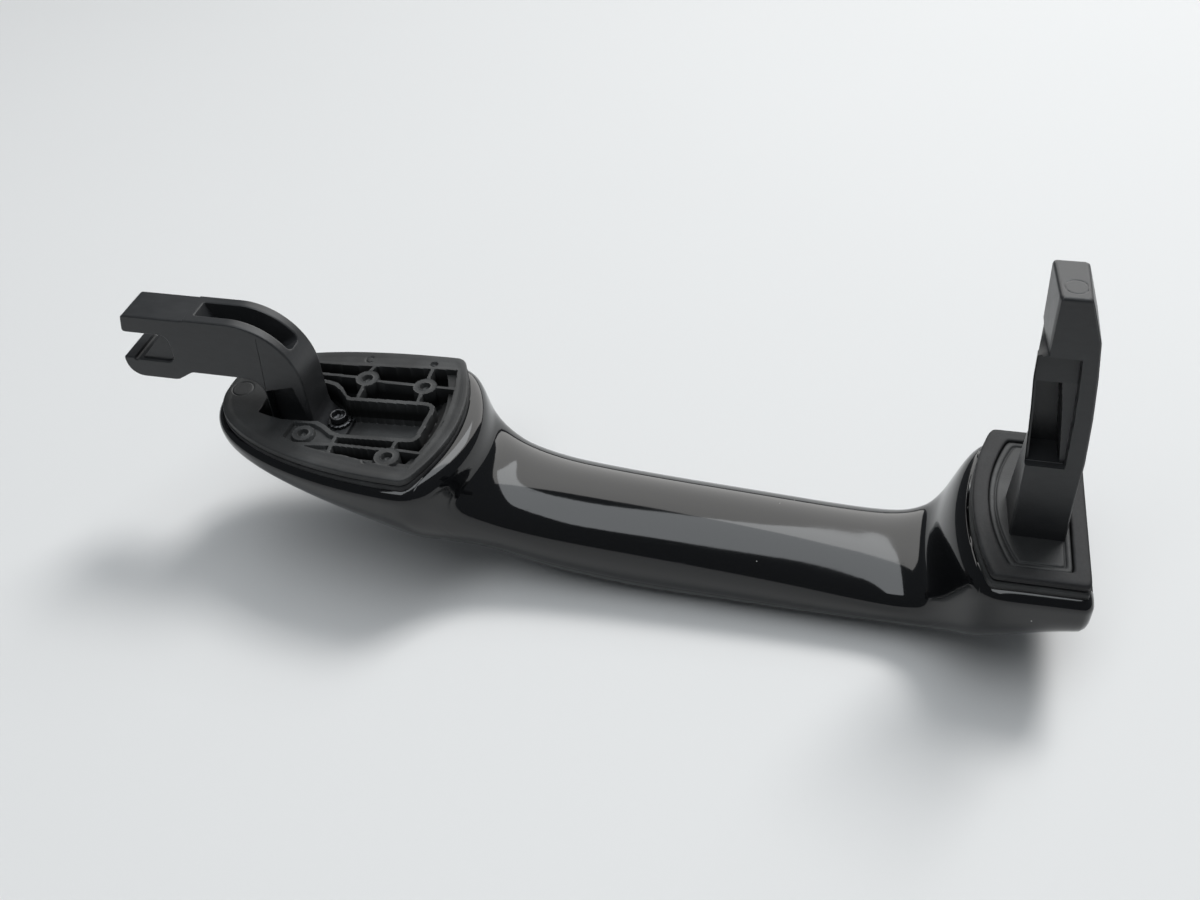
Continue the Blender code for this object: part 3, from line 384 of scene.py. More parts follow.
leg_room = [(-91.6, -5.4), (-89.5, -6.1), (-85.0, -7.0), (-77.2, -6.7), (-73.4, -5.8), (-71.5, 2.9),
            (-74.6, 6.0), (-91.6, 6.3)]
pocket_line = [(-81.5, 8.6), (-78.6, 8.4), (-76.2, 7.8), (-74.6, 6.6), (-73.4, 5.1), (-72.2, 3.6),
               (-70.6, 2.9), (-68.8, 3.1), (-52.2, 4.1), (-50.0, 4.0), (-49.0, 3.2), (-48.7, 2.0),
               (-49.0, -7.9), (-49.8, -9.2), (-51.0, -9.5), (-68.0, -10.6), (-70.4, -9.9), (-73.2, -8.0),
               (-75.6, -6.9), (-78.0, -6.8), (-81.3, -7.0)]
back_ribs = [[(-82.4, 11.3), (-69.2, 11.4), (-65.7, 10.7), (-53.5, 10.7), (-45.0, 11.0)],
             [(-68.8, 17.0), (-69.6, 14.2), (-69.2, 8.4), (-68.7, 3.2)],
             [(-53.8, 18.3), (-53.5, 7.6), (-53.3, 4.2)]]
front_ribs = [[(-78.0, -15.0), (-67.4, -13.7), (-57.6, -13.5), (-51.3, -13.1), (-45.2, -13.3)],
              [(-68.7, -10.6), (-68.4, -17.2)], [(-53.4, -9.6), (-53.7, -13.2)]]
bosses = [(-69.2, 11.4, 3.0), (-53.5, 10.7, 3.05), (-53.9, -15.6, 3.05), (-77.2, -11.0, 2.65)]
rib_half, pocket_half, wall_draft = 0.5, 0.66, 0.34  # millimetres, as are the outlines above


def away(place, line):
    """Distance of each place in the plane from a line of points: the least over its straight pieces."""
    line = np.asarray(line, float)
    least = np.full(place.shape[:-1], np.inf)
    for start, end in zip(line[:-1], line[1:]):
        run = end - start
        along = np.clip(((place - start) @ run) / (run @ run), 0, 1)
        least = np.minimum(least, np.linalg.norm(place - start - along[..., None] * run, axis=-1))
    return least


def within(place, outline):
    """Signed distance into a closed outline: positive inside, by the even-odd rule."""
    ring = np.asarray(list(outline) + [outline[0]], float)
    inside = np.zeros(place.shape[:-1], bool)
    for (x0, y0), (x1, y1) in zip(ring[:-1], ring[1:]):
        crosses = (y0 > place[..., 1]) != (y1 > place[..., 1])
        at = x0 + (place[..., 1] - y0) * (x1 - x0) / (y1 - y0 if y1 != y0 else 1e-9)
        inside ^= crosses & (place[..., 0] < at)
    return np.where(inside, 1, -1) * away(place, ring)


def step(value, width):
    """0 below nothing, 1 above width, and a smooth cubic between them."""
    t = np.clip(value / width, 0, 1)
    return t * t * (3 - 2 * t)


def pad_place(u, v, inset=0.0):
    """The seat's outline filled by two parameters: u from the tip to the bowed edge, v across."""
    tip, length, half = pad_tip + inset, pad_length - 2 * inset, pad_half - inset
    spread = half * (1 - (1 - u) ** 2) ** (1 / nose_fullness)
    blunt = np.clip((np.abs(v) * half - half + pad_corner) / pad_corner, 0, 1)
    bow = pad_bulge * (1 - v**2) - pad_corner * 0.8 * (1 - np.sqrt(1 - blunt**2))
    lean = nose_lean * np.clip(1 - (tip + length * u - nose_x) / corner_s, 0, 1) ** 2
    # The bow fades out towards the tip, so the columns fan forwards.
    return np.stack(np.broadcast_arrays(tip + length * u + bow * u**2, spread * v + lean), axis=-1)


def border(points):
    """The rim of a grid as one closed loop, with its indices."""
    rows, columns = points.shape[:2]
    index = np.arange(rows * columns).reshape(rows, columns)
    loop = np.concatenate([index[:-1, 0], index[-1, :-1], index[:0:-1, -1], index[0, :0:-1]])
    return loop, points.reshape(-1, 3)[loop]


def closed_piece(name, points, rings):
    """A grid closed below: its rim goes down through the rings and ends in one flat face."""
    rows, columns = points.shape[:2]
    index = np.arange(rows * columns).reshape(rows, columns)
    faces = np.stack([index[:-1, :-1], index[1:, :-1], index[1:, 1:], index[:-1, 1:]], -1)
    faces = faces.reshape(-1, 4).tolist()
    before, _ = border(points)
    every, count = [points.reshape(-1, 3)], rows * columns
    for ring in rings:
        after = count + np.arange(len(ring))
        faces += np.stack([before, after, np.roll(after, -1), np.roll(before, -1)], -1)[:, ::-1].tolist()
        every.append(ring)
        before, count = after, count + len(ring)
    faces.append(before[::-1].tolist())
    mesh = bpy.data.meshes.new(name)
    mesh.from_pydata(np.concatenate(every).tolist(), [], faces)
    mesh.shade_smooth()
    mesh.set_sharp_from_angle(angle=math.radians(38))
    piece = bpy.data.objects.new(name, mesh)
    bpy.context.scene.collection.objects.link(piece)
    return piece


crowd = np.array([0, 0.0012, 0.003, 0.006, 0.010])
u = np.concatenate([np.linspace(0.003, 1, 44)[:-1] ** 2 * 0.09, np.linspace(0.09, 1, 255)[:-1]])
u = np.concatenate([u[u < 0.988], 1 - crowd[::-1]])[:, None]
v = np.linspace(-0.988, 0.988, 230)
v = np.concatenate([-1 + crowd, v[1:-1], 1 - crowd[::-1]])[None, :]
pad_xy = pad_place(u, v)
place = (pad_xy - [mid_x, 0]) / mm
rim_loop = border(np.concatenate([pad_xy, np.zeros(pad_xy.shape[:2] + (1,))], -1))[1][:, :2]
to_edge = away(place, (np.concatenate([rim_loop, rim_loop[:1]])[::3] - [mid_x, 0]) / mm)
open_room = within(place, pad_recess)
solid = np.minimum(open_room, away(place, pocket_line) - pocket_half)
for line in back_ribs + front_ribs:
    solid = np.minimum(solid, away(place, line) - rib_half)
for x, y, radius in bosses:
    solid = np.minimum(solid, np.linalg.norm(place - [x, y], axis=-1) - radius)
px, py = place[..., 0], place[..., 1]
front_rib_y = np.interp(px, [-78.0, -67.4, -57.6, -45.2], [-15.0, -13.7, -13.5, -13.3])
in_pocket = within(place, pocket_line)
floor_depth = np.full(px.shape, 6.4)
# Along the front the floor rises to the border, and on the right it slopes up to the bowed edge.
ramp = 0.9 + 5.0 * (1 - step(front_rib_y - py, 3.4))
floor_depth = np.where((py < front_rib_y) & (in_pocket < 0), ramp, floor_depth)
floor_depth = np.where((px < -69.4) & (py < -7.4) & (in_pocket < 0), 1.0, floor_depth)
right_slope = (px > -48.4) & (py < 9.0) & (in_pocket < 0) & (py > -12.5)
floor_depth = np.where(right_slope, 2.2 + 0.25 * (-44.0 - px), floor_depth)
floor_depth = np.where(in_pocket > 0, 6.8, floor_depth)
depth = floor_depth * step(solid, wall_draft)
depth = np.maximum(depth, 6.8 * step(within(place, leg_room), 0.5))
for x, y, radius in bosses:
    reach = np.linalg.norm(place - [x, y], axis=-1)
    depth = np.maximum(depth, 1.2 * step(1.35 - reach, 0.3))
    depth += 0.12 * step(radius - reach, 0.25) * step(reach - 1.5, 0.2)
    depth -= 0.25 * np.exp(-(((reach - 0.6) / 0.25) ** 2)) * step(1.3 - reach, 0.2)
# Ejector marks: a sunk ring near the tip, a part ring, a round notch and a short arc in the border.
reach = np.linalg.norm(place - [-99.4, 2.4], axis=-1)
depth += 0.16 * np.exp(-(((reach - 2.65) / 0.16) ** 2))
reach = np.linalg.norm(place - [-71.4, 18.9], axis=-1)
turn = np.arctan2(py - 18.9, px + 71.4)
depth += 0.3 * np.exp(-(((reach - 1.0) / 0.2) ** 2)) * (np.abs(turn) > 0.8)
depth += 0.7 * step(1.05 - np.linalg.norm(place - [-54.2, 19.6], axis=-1), 0.3)
depth -= 0.5 * step(0.6 - np.linalg.norm(place - [-54.1, 19.4], axis=-1), 0.5)
reach = np.linalg.norm(place - [-58.2, -17.7], axis=-1)
depth += 0.25 * np.exp(-(((reach - 0.9) / 0.18) ** 2)) * (py < -17.6)
# The border dips slightly between the edge and the recess, as the moulding shrank there.
depth += 0.10 * step(to_edge - 1.0, 1.5) * step(-open_room - 0.2, 1.2)
rounding = 0.35
dip = np.clip(1 - to_edge / rounding, 0, 1)
depth += rounding * (1 - np.sqrt(1 - dip**2))
pad_points = np.concatenate([pad_xy, (pad_top - depth * mm)[..., None]], axis=-1)
_, edge_ring = border(pad_points)
middle = np.array([pad_tip + 0.55 * pad_length, 0, 0])
low_ring = edge_ring.copy()
low_ring[:, 2] = flange_under
tray_ring = middle + (edge_ring - middle) * [0.84, 0.84, 0]
tray_foot = middle + (edge_ring - middle) * [0.84, 0.82, 0] + [0, 0, tray_under]
tray_foot[:, 0] = np.maximum(tray_foot[:, 0], tray_tip)
rings = [low_ring, tray_ring + [0, 0, flange_under], tray_foot]
pad = closed_piece("front_base_moulding", pad_points, rings)

base_plastic, wire = finish("grained_base_plastic", Specular_IOR_Level=0.36)
grain = wire.noise(2600, 3)
rub = wire.noise(75, 6).ramp((0.42, 0), (0.72, 1))
streak = wire.noise(120, 3, (1, 9, 1), (0, 0, 0.5)).ramp((0.62, 0), (0.70, 1))
# Painted shade: the base colour darkens from 0.6 mm to 3.2 mm below the front base's top, so the deeper faces
# of its recess and pockets look shaded; faces below the rear seat plane, the rear base's among them, keep the
# full colour.
level = wire.node("SeparateXYZ", {}, {"Vector": wire.node("TexCoord", out="Object")}, out="Z")
lit_by_height = wire.node("MapRange", {"clamp": True}, {
    "Value": level, "From Min": pad_top - 3.2 * mm, "From Max": pad_top - 0.6 * mm,
    "To Min": 0.0, "To Max": 1.0})
lower_seat = wire.math("LESS_THAN", level, seat_z)
lit_outside_pockets = wire.math("MAXIMUM", lit_by_height, lower_seat)
feed(base_plastic,
     Base_Color=wire.tint((rub * 0.5 + grain * 0.3 + 0.2) * lit_outside_pockets,
                          (0.004, 0.004, 0.004), (0.060, 0.062, 0.063)),
     Roughness=0.46 + grain * 0.14 - streak * 0.10 - rub * 0.04,
     Normal=wire.bump(grain, 0.30, 0.00008))
place_piece(pad, base_plastic, "base_plastic", "front_base")

# ---- Front gasket -----------------------------------------------------------------------------------------
# A soft rubber band squeezed between the front base's flange and the painted rim, so that water stays off
# the door skin's opening. It is moulded as a loop and held by the base's screws.


def moved_in(loop, distance):
    """A closed plane loop moved along its normals towards its middle."""
    ahead = np.roll(loop, -1, axis=0) - np.roll(loop, 1, axis=0)
    ahead /= np.maximum(np.linalg.norm(ahead, axis=1, keepdims=True), 1e-12)
    area = np.sum(loop[:, 0] * np.roll(loop[:, 1], -1) - np.roll(loop[:, 0], -1) * loop[:, 1])
    return loop + np.stack([-ahead[:, 1], ahead[:, 0]], axis=1) * np.sign(area) * distance


def band_piece(name, loop, width, low, high, radius):
    """A band along a closed loop: a section with rounded corners, width wide and from low to high."""
    corner = np.radians([0, 30, 60, 90])
    section = []
    for start, x, z in ((180, radius, low + radius), (270, width - radius, low + radius),
                        (0, width - radius, high - radius), (90, radius, high - radius)):
        turn = corner + math.radians(start)
        section += list(zip(x + radius * np.cos(turn), z + radius * np.sin(turn)))
    rings = [np.column_stack([moved_in(loop, x), np.full(len(loop), z)]) for x, z in section]
    points = np.stack(rings + rings[:1], axis=0)
    return grid_piece(name, points, loop=True)


gasket_low, gasket_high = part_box("front_gasket")[0].z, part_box("front_gasket")[1].z
front_loop = rim_loop[np.r_[True, np.linalg.norm(np.diff(rim_loop, axis=0), axis=1) > 0.05 * mm]][::2]
front_band = band_piece("front_gasket_band", moved_in(front_loop, -0.15 * mm), 1.6 * mm,
                        gasket_low, gasket_high, 0.4 * mm)

gasket_rubber, wire = finish("gasket_rubber", Specular_IOR_Level=0.35)
bloom = wire.noise(160, 4).ramp((0.45, 0), (0.75, 1))
skin = wire.noise(1800, 2)
feed(gasket_rubber,
     Base_Color=wire.tint(bloom, (0.012, 0.012, 0.013), (0.030, 0.031, 0.032)),
     Roughness=0.52 + skin * 0.18 + bloom * 0.08,
     Normal=wire.bump(skin, 0.25, 0.00006))
place_piece(front_band, gasket_rubber, "gasket_rubber", "front_gasket")

# ---- Hook arm ---------------------------------------------------------------------------------------------
# The arm that hooks over the pivot pin behind the door skin: one moulding in black glass-filled nylon with an
# open fork at its end and a long slot cored into its back. Its foot lies under the front base, where the
# hook screw holds it.
arm_low, arm_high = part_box("front_hook_arm")
arm_half = (arm_high.y - arm_low.y) / 2
bend_x, bend_z, bend_radius = -93.9, 14.6, 16.5
turn = np.radians(np.linspace(90, 0, 60))[1:-1]
lower_jaw = np.radians(np.linspace(180, 270, 14))
inner_turn = np.radians(np.linspace(90, 14, 12))
notch_turn = np.radians(np.linspace(-80, -5, 8))
outline = np.array(
    [(-108.0, 30.85), (-104.75, 30.85), (-104.5, 31.1), (-93.9, 31.1)]
    + list(zip(bend_x + bend_radius * np.cos(turn), bend_z + bend_radius * np.sin(turn)))
    + [(-77.4, 14.6), (-77.35, 4.2), (-77.0, 2.0), (-75.2, -0.5), (-70.0, -0.5), (-70.0, -2.85),
       (-86.6, -2.85), (-88.2, -1.2), (-88.2, 10.0)]
    + list(zip(-92.6 + 4.4 * np.cos(inner_turn[::-1]), 10.6 + 4.4 * np.sin(inner_turn[::-1])))
    + [(-93.6, 15.02), (-106.2, 15.05), (-107.0, 14.85), (-110.8, 12.5), (-111.8, 12.3)]
    + list(zip(-120.3 + 4.0 * np.cos(lower_jaw[::-1]), 16.3 + 4.0 * np.sin(lower_jaw[::-1])))
    + [(-124.34, 17.2), (-124.2, 17.9), (-123.8, 18.2), (-121.4, 18.2), (-121.2, 17.6), (-120.6, 17.5),
       (-120.3, 17.9), (-112.5, 17.9)]
    + list(zip(-112.4 + 2.1 * np.cos(notch_turn), 20.0 + 2.1 * np.sin(notch_turn)))
    + list(zip(-112.4 + 2.1 * np.cos(notch_turn + math.pi / 2),
               23.7 + 2.1 * np.sin(notch_turn + math.pi / 2)))
    + [(-121.2, 25.8), (-121.8, 26.0), (-122.05, 26.6), (-121.34, 29.6), (-121.1, 30.3), (-120.5, 30.75),
       (-119.6, 30.85)])
closing = np.concatenate([outline, outline[:1]])
length = np.concatenate([[0], np.cumsum(np.linalg.norm(np.diff(closing, axis=0), axis=1))])
bend_start = length[3]
slot_start = bend_start - (bend_x + 102.5)
slot_end = bend_start + bend_radius * math.radians(90 - 31)
# Fine spacing where the slot is, and every corner of the outline kept.
spots = np.concatenate([length[:-1], np.arange(slot_start - 2, slot_end + 3, 0.22),
                        np.arange(slot_end + 3, length[-1], 1.6)])
spots = np.unique(np.round(spots, 3))
spots = spots[np.r_[True, np.diff(spots) > 0.03]]
side_line = np.stack([np.interp(spots, length, closing[:, i]) for i in (0, 1)], axis=-1)
ahead = np.roll(side_line, -1, axis=0) - np.roll(side_line, 1, axis=0)
ahead /= np.linalg.norm(ahead, axis=1, keepdims=True)
outward = np.stack([-ahead[:, 1], ahead[:, 0]], axis=1)
edge = 0.45
curl = np.radians([0, 18, 36, 54, 72, 90])
inset = np.concatenate([edge * (1 - np.sin(curl)), np.zeros(62), edge * (1 - np.sin(curl[::-1]))])
flank = arm_half / mm
across = np.concatenate([-flank + edge * (1 - np.cos(curl)),
                         np.linspace(-flank + edge, flank - edge, 64)[1:-1],
                         flank - edge * (1 - np.cos(curl[::-1]))])
along_, across_ = np.meshgrid(spots, across, indexing="ij")
slot_middle, slot_half = (slot_start + slot_end) / 2, (slot_end - slot_start) / 2
corner = np.where(along_ > slot_middle, 1.5, 0.6)
beyond = np.stack([np.abs(along_ - slot_middle) - slot_half + corner, np.abs(across_) - 2.6 + corner])
slot_in = corner - np.linalg.norm(np.maximum(beyond, 0), axis=0) - np.minimum(beyond.max(axis=0), 0)
slot_in = np.where((along_ < slot_start - 1) | (along_ > slot_end + 1), -1.0, slot_in)
sunk = 6.0 * step(slot_in, 0.3)
# The slot's first wall leans, and a shallow sink runs round its mouth.
sunk = np.minimum(sunk, 0.15 + 2.0 * np.clip(along_ - slot_start, 0, 9)) * (slot_in > 0)
sunk += 0.12 * step(slot_in + 0.35, 0.35) * (slot_in <= 0)
shift = inset[None, :] + sunk
points = side_line[:, None, :] - outward[:, None, :] * shift[..., None]
arm_points = np.stack([mid_x + points[..., 0] * mm, across_ * mm, seat_z + points[..., 1] * mm], axis=-1)
hollow = [(-87.9, 11.8), (-80.4, 14.0), (-79.4, 9.0), (-78.3, 3.5), (-78.3, -0.3), (-87.9, -0.3)]
parting = [(-86.36, 28.0), (-86.24, 28.0), (-87.6, 12.4), (-87.74, 12.4)]
# A gusset set back from both flanks fills the notch's lower corner and leans up to the upper jaw.
gusset = [(-119.7, 17.4), (-109.6, 17.4), (-109.6, 26.3), (-111.4, 26.3)]
gusset_half = arm_half / mm - 0.8


def arm_piece(name):
    """The band round the outline, closed on each flank by a face with the hollow and the parting line."""
    rows, columns = arm_points.shape[:2]
    index = np.arange(rows * columns).reshape(rows, columns)
    wrapped = np.concatenate([index, index[:1]])
    faces = np.stack([wrapped[:-1, :-1], wrapped[:-1, 1:], wrapped[1:, 1:], wrapped[1:, :-1]], -1)
    faces, every = faces.reshape(-1, 4).tolist(), arm_points.reshape(-1, 3).tolist()
    for side, column in ((-1, 0), (1, columns - 1)):
        rims, wells = [index[:, column].tolist()], []
        for well, deep in ((hollow, 2.8), (parting, 0.15)):
            for level in (0.0, deep):
                first = len(every)
                every += [(mid_x + x * mm, side * (flank - level) * mm, seat_z + z * mm) for x, z in well]
                (wells if level else rims).append(list(range(first, len(every))))
        loops = [[Vector(every[i]) for i in rim] for rim in rims]
        flat = [i for rim in rims for i in rim]
        for corners in mathutils.geometry.tessellate_polygon(loops):
            face = [flat[i] for i in corners]
            a, b, c = (Vector(every[i]) for i in face)
            faces.append(face if (b - a).cross(c - a).y * side > 0 else face[::-1])
        for rim, well in zip(rims[1:], wells):
            middle = sum((Vector(every[i]) for i in rim), Vector()) / len(rim)
            for a, b, c, d in zip(rim, rim[1:] + rim[:1], well[1:] + well[:1], well):
                normal = (Vector(every[b]) - Vector(every[a])).cross(Vector(every[d]) - Vector(every[a]))
                inner = normal.dot(middle - Vector(every[a])) > 0
                faces.append([a, b, c, d] if inner else [d, c, b, a])
            p, q, r = (Vector(every[i]) for i in well[:3])
            faces.append(well if (q - p).cross(r - p).y * side > 0 else well[::-1])
    first, count = len(every), len(gusset)
    every += [(mid_x + x * mm, y * mm, seat_z + z * mm)
              for y in (-gusset_half, gusset_half) for x, z in gusset]
    faces += [[first + i for i in range(count)], [first + count + i for i in reversed(range(count))]]
    faces += [[first + i, first + count + i, first + count + (i + 1) % count, first + (i + 1) % count]
              for i in range(count)]
    mesh = bpy.data.meshes.new(name)
    mesh.from_pydata(every, [], faces)
    mesh.shade_smooth()
    mesh.set_sharp_from_angle(angle=math.radians(28))
    piece = bpy.data.objects.new(name, mesh)
    bpy.context.scene.collection.objects.link(piece)
    return piece


hook_arm = arm_piece("hook_arm_moulding")

arm_nylon, wire = finish("glass_filled_nylon", Specular_IOR_Level=0.40)
fibre = wire.noise(900, 3, (0.35, 1, 1), (0, 0.35, 0))
mottle = wire.noise(110, 5)
sheen = wire.noise(45, 4).ramp((0.35, 0), (0.75, 1))
feed(arm_nylon,
     Base_Color=wire.tint(fibre * 0.5 + mottle * 0.5, (0.015, 0.016, 0.017), (0.036, 0.037, 0.039)),
     Roughness=0.30 + mottle * 0.12 + fibre * 0.08 - sheen * 0.06,
     Normal=wire.bump(fibre * 0.6 + mottle * 0.4, 0.16, 0.00010))
place_piece(hook_arm, arm_nylon, "arm_nylon", "front_hook_arm")

# ---- Hook screw and washer --------------------------------------------------------------------------------
# A small zinc-plated cap screw with a deep round-cornered drive, and the toothed lock washer under its head.
# They hold the arm's foot down on the brass insert in the beam.
screw_low, screw_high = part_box("hook_screw")
washer_low, washer_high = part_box("hook_lock_washer")
screw_x, screw_y = (screw_low.x + screw_high.x) / 2, (screw_low.y + screw_high.y) / 2


def turned_piece(name, profile, wave=None, steps=96):
    """A profile of (radius, height) turned round the screw's axis; wave changes the radius with the angle."""
    turn = np.linspace(0, 2 * math.pi, steps, endpoint=False)[None, :]
    radius, height = (np.array(column)[:, None] for column in zip(*profile))
    spread = radius if wave is None else wave(radius, height, turn)
    x, y = screw_x + spread * np.cos(turn), screw_y + spread * np.sin(turn)
    return grid_piece(name, np.stack(np.broadcast_arrays(x, y, height), -1), loop=True, flip=True)


def six_lobes(radius, height, turn):
    """The drive's bore has six lobes: radius times 1 + 0.09 cos 6a inside the head's chamfer."""
    in_drive = (radius < 1.6 * mm) & (height > drive_floor - 0.01 * mm)
    return radius * (1 + np.where(in_drive, 0.09, 0) * np.cos(6 * turn))


top, drive_floor = screw_high.z, screw_high.z - 1.45 * mm
head = (screw_high.x - screw_low.x) / 2
shank = 1.45 * mm
screw_profile = [(0.001 * mm, drive_floor), (1.3 * mm, drive_floor), (1.5 * mm, drive_floor + 0.25 * mm),
                 (1.52 * mm, top - 0.25 * mm), (1.64 * mm, top - 0.05 * mm), (1.75 * mm, top),
                 (head - 0.25 * mm, top), (head - 0.1 * mm, top - 0.06 * mm), (head, top - 0.25 * mm),
                 (head, top - 1.35 * mm), (head - 0.1 * mm, top - 1.5 * mm), (shank, top - 1.5 * mm)]
threads = np.arange(top - 1.9 * mm, screw_low.z + 0.5 * mm, -0.5 * mm)
for z in threads:
    screw_profile += [(shank, z + 0.12 * mm), (shank - 0.28 * mm, z - 0.12 * mm)]
screw_profile += [(shank - 0.3 * mm, screw_low.z), (0.001 * mm, screw_low.z)]
cap_screw = turned_piece("hook_cap_screw", screw_profile, six_lobes)
outer, bore = (washer_high.x - washer_low.x) / 2, 1.6 * mm
low, high = washer_low.z, washer_high.z
washer = turned_piece(
    "toothed_lock_washer",
    [(bore, low), (bore, high - 0.1 * mm), (bore + 0.1 * mm, high), (outer - 0.9 * mm, high),
     (outer - 0.1 * mm, high - 0.02 * mm), (outer, high - 0.15 * mm), (outer, low + 0.05 * mm),
     (outer - 0.1 * mm, low), (bore, low)],
    lambda radius, height, turn:
        radius - np.where(radius > 2.9 * mm, 0.22 * mm, 0) * (np.cos(14 * turn) > 0.35))

plated_steel, wire = finish("zinc_plated_steel", Metallic=1.0)
tarnish = wire.noise(700, 5)
turned_lines = wire.noise(3000, 2, (1, 1, 4))
feed(plated_steel,
     Base_Color=wire.tint(tarnish, (0.035, 0.035, 0.037), (0.15, 0.15, 0.155)),
     Roughness=0.30 + tarnish * 0.25,
     Normal=wire.bump(turned_lines, 0.15, 0.00003))
place_piece(cap_screw, plated_steel, "plated_steel", "hook_screw")
place_piece(washer, plated_steel, "plated_steel", "hook_lock_washer")

# ---- Rear seat --------------------------------------------------------------------------------------------
# The seat at the lock end: a grained plastic base screwed into the body from below, with a soft rubber frame
# lying on its border and a raised panel in the middle that the post stands through.
rear_end, rear_half = tail_x, half_rear - 0.7 * mm
rear_corner_x, rear_bulge = nose_x + rear_corner_s, 4.2 * mm
loop_count = 260


def rear_loop(inset, corner=30.0):
    """A closed loop in the seat's outline: a superellipse with a high exponent gives the rounded corners, and
    the edge towards the grip is bowed by the bulge times one less the square of the share across."""
    turn = np.linspace(0, 2 * math.pi, loop_count, endpoint=False) + 0.5 * math.pi / loop_count
    c, q = np.cos(turn), np.sin(turn)
    # Places crowd at the corners, where the loop turns.
    reach = (np.abs(c) ** corner + np.abs(q) ** corner) ** (-1 / corner)
    a, b = c * reach, q * reach
    half = rear_half - inset
    left = rear_corner_x + inset - rear_bulge * (1 - b**2)
    return np.column_stack([left + (rear_end - inset - left) * (a + 1) / 2, half * b])


def looped_piece(name, loops, closed=False):
    """Loops of (inset, height) joined in order; the last returns to the first, or both ends are capped."""
    rings = [np.column_stack([rear_loop(inset * mm), np.full(loop_count, seat_z + height * mm)])
             for inset, height in loops]
    if closed:
        return grid_piece(name, np.stack(rings + rings[:1]), loop=True, flip=True)
    for ring in (rings[0], rings[-1]):
        centre = ring.mean(axis=0)
        caps = [centre + (ring - centre) * [share, share, 1] for share in (0.6, 0.25, 0.002)]
        rings = caps[::-1] + rings if ring is rings[0] else rings + caps
    return grid_piece(name, np.stack(rings), loop=True, flip=True)


rear_frame = looped_piece(
    "rear_gasket_frame",
    [(0.3, -1.6), (0.3, -1.1), (0.2, -0.9), (0.2, -0.6), (0.35, -0.2), (0.7, 0.0), (1.6, -0.02), (3.1, -0.03),
     (3.5, -0.05), (3.7, -0.25), (3.75, -0.6), (3.75, -1.9), (1.0, -1.9), (0.5, -1.85)], closed=True)
rear_moulding = looped_piece(
    "rear_base_moulding",
    [(5.0, -9.9), (3.2, -9.9), (3.0, -9.6), (3.0, -4.4), (0.4, -4.4), (0.1, -4.3), (0.0, -4.1), (0.0, -2.5),
     (0.15, -2.25), (0.4, -2.2), (3.9, -2.2), (3.9, -0.9), (4.0, -0.65), (4.25, -0.55), (4.9, -0.55),
     (5.05, -0.7), (5.2, -0.95), (5.35, -0.95), (5.5, -0.7), (5.65, -0.6), (6.0, -0.6)])
place_piece(rear_frame, gasket_rubber, "gasket_rubber", "rear_gasket")
place_piece(rear_moulding, base_plastic, "base_plastic", "rear_base")

# ---- Post -------------------------------------------------------------------------------------------------
# The tall post that works the latch's lever: glass-filled nylon, thick at the head, stepped back below it on
# one side of a flush rib, and cored out with a deep pocket. Two screws from below hold its foot.
post_low, post_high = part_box("rear_post")
post_front, post_back = post_low.y, post_high.y
post_rows = np.unique(np.round(np.concatenate([
    np.linspace(-1.0, 61.6, 150), np.arange(18.5, 21.5, 0.12), np.arange(40.5, 43.0, 0.12),
    np.arange(46.5, 49.0, 0.12), 61.6 - 0.7 * (1 - np.cos(np.radians([90, 72, 54, 36, 18])))]), 3))
height = post_rows[:, None]
right_edge = np.interp(height, [-1, 1.5, 10.3, 21.9, 33.8, 43.7, 51.9, 61.6],
                       [98.9, 98.9, 98.6, 98.4, 97.5, 96.4, 95.2, 91.8])
left_edge = np.interp(height, [-1, 20, 35, 42, 47.6, 48.4, 61.6], [87.4, 86.8, 85.4, 84.6, 84.4, 86.3, 86.0])
back_skew = np.interp(height, [-1, 18, 22, 47.6, 48.4, 61.6], [0.6, -1.2, -1.9, -1.9, 0.5, 0.9])
round_top = 0.7 * (1 - np.sqrt(1 - np.clip((height - 60.9) / 0.7, 0, 1) ** 2))
# Shares along the four faces, in the order front, right, back, left; the front face is the finest.
front_share = np.linspace(0, 1, 92)[:-1]
faces_share = [(0, front_share), (1, np.linspace(0, 1, 40)[:-1]), (2, np.linspace(0, 1, 14)[:-1]),
               (3, np.linspace(0, 1, 18)[:-1])]
depth_y = (post_back - post_front) / mm
columns = []
for face, share in faces_share:
    share = share[None, :]
    near = np.zeros(np.broadcast_shapes(height.shape, share.shape))
    if face == 0:
        x, y = left_edge + (right_edge - left_edge) * share, near
    elif face == 1:
        x, y = right_edge + near, depth_y * share + near
    elif face == 2:
        x, y = right_edge - (right_edge - left_edge + back_skew) * share, depth_y + near
    else:
        x, y = left_edge - back_skew * (1 - share), depth_y * (1 - share) + near
    columns.append(np.stack([x, y], axis=-1))
ring = np.concatenate(columns, axis=1)
# Corners are rounded by pulling each place towards the middle of its section near a corner.
middle_x, middle_y = (left_edge + right_edge - back_skew / 2) / 2, depth_y / 2
from_left = ring[..., 0] - (left_edge - back_skew * ring[..., 1] / depth_y)
from_side = np.minimum(from_left, right_edge - ring[..., 0])
from_face = np.minimum(ring[..., 1], depth_y - ring[..., 1])
soft = 0.55
corner_in = np.clip(1 - np.maximum(from_side, from_face) / soft, 0, 1)
pull = soft * 0.41 * corner_in**2
ring_x = ring[..., 0] + np.sign(middle_x - ring[..., 0]) * pull
ring_y = ring[..., 1] + np.sign(middle_y - ring[..., 1]) * pull
ring_x = middle_x + (ring_x - middle_x) * (1 - 2 * round_top / (right_edge - left_edge))
ring_y = middle_y + (ring_y - middle_y) * (1 - 2 * round_top / depth_y)
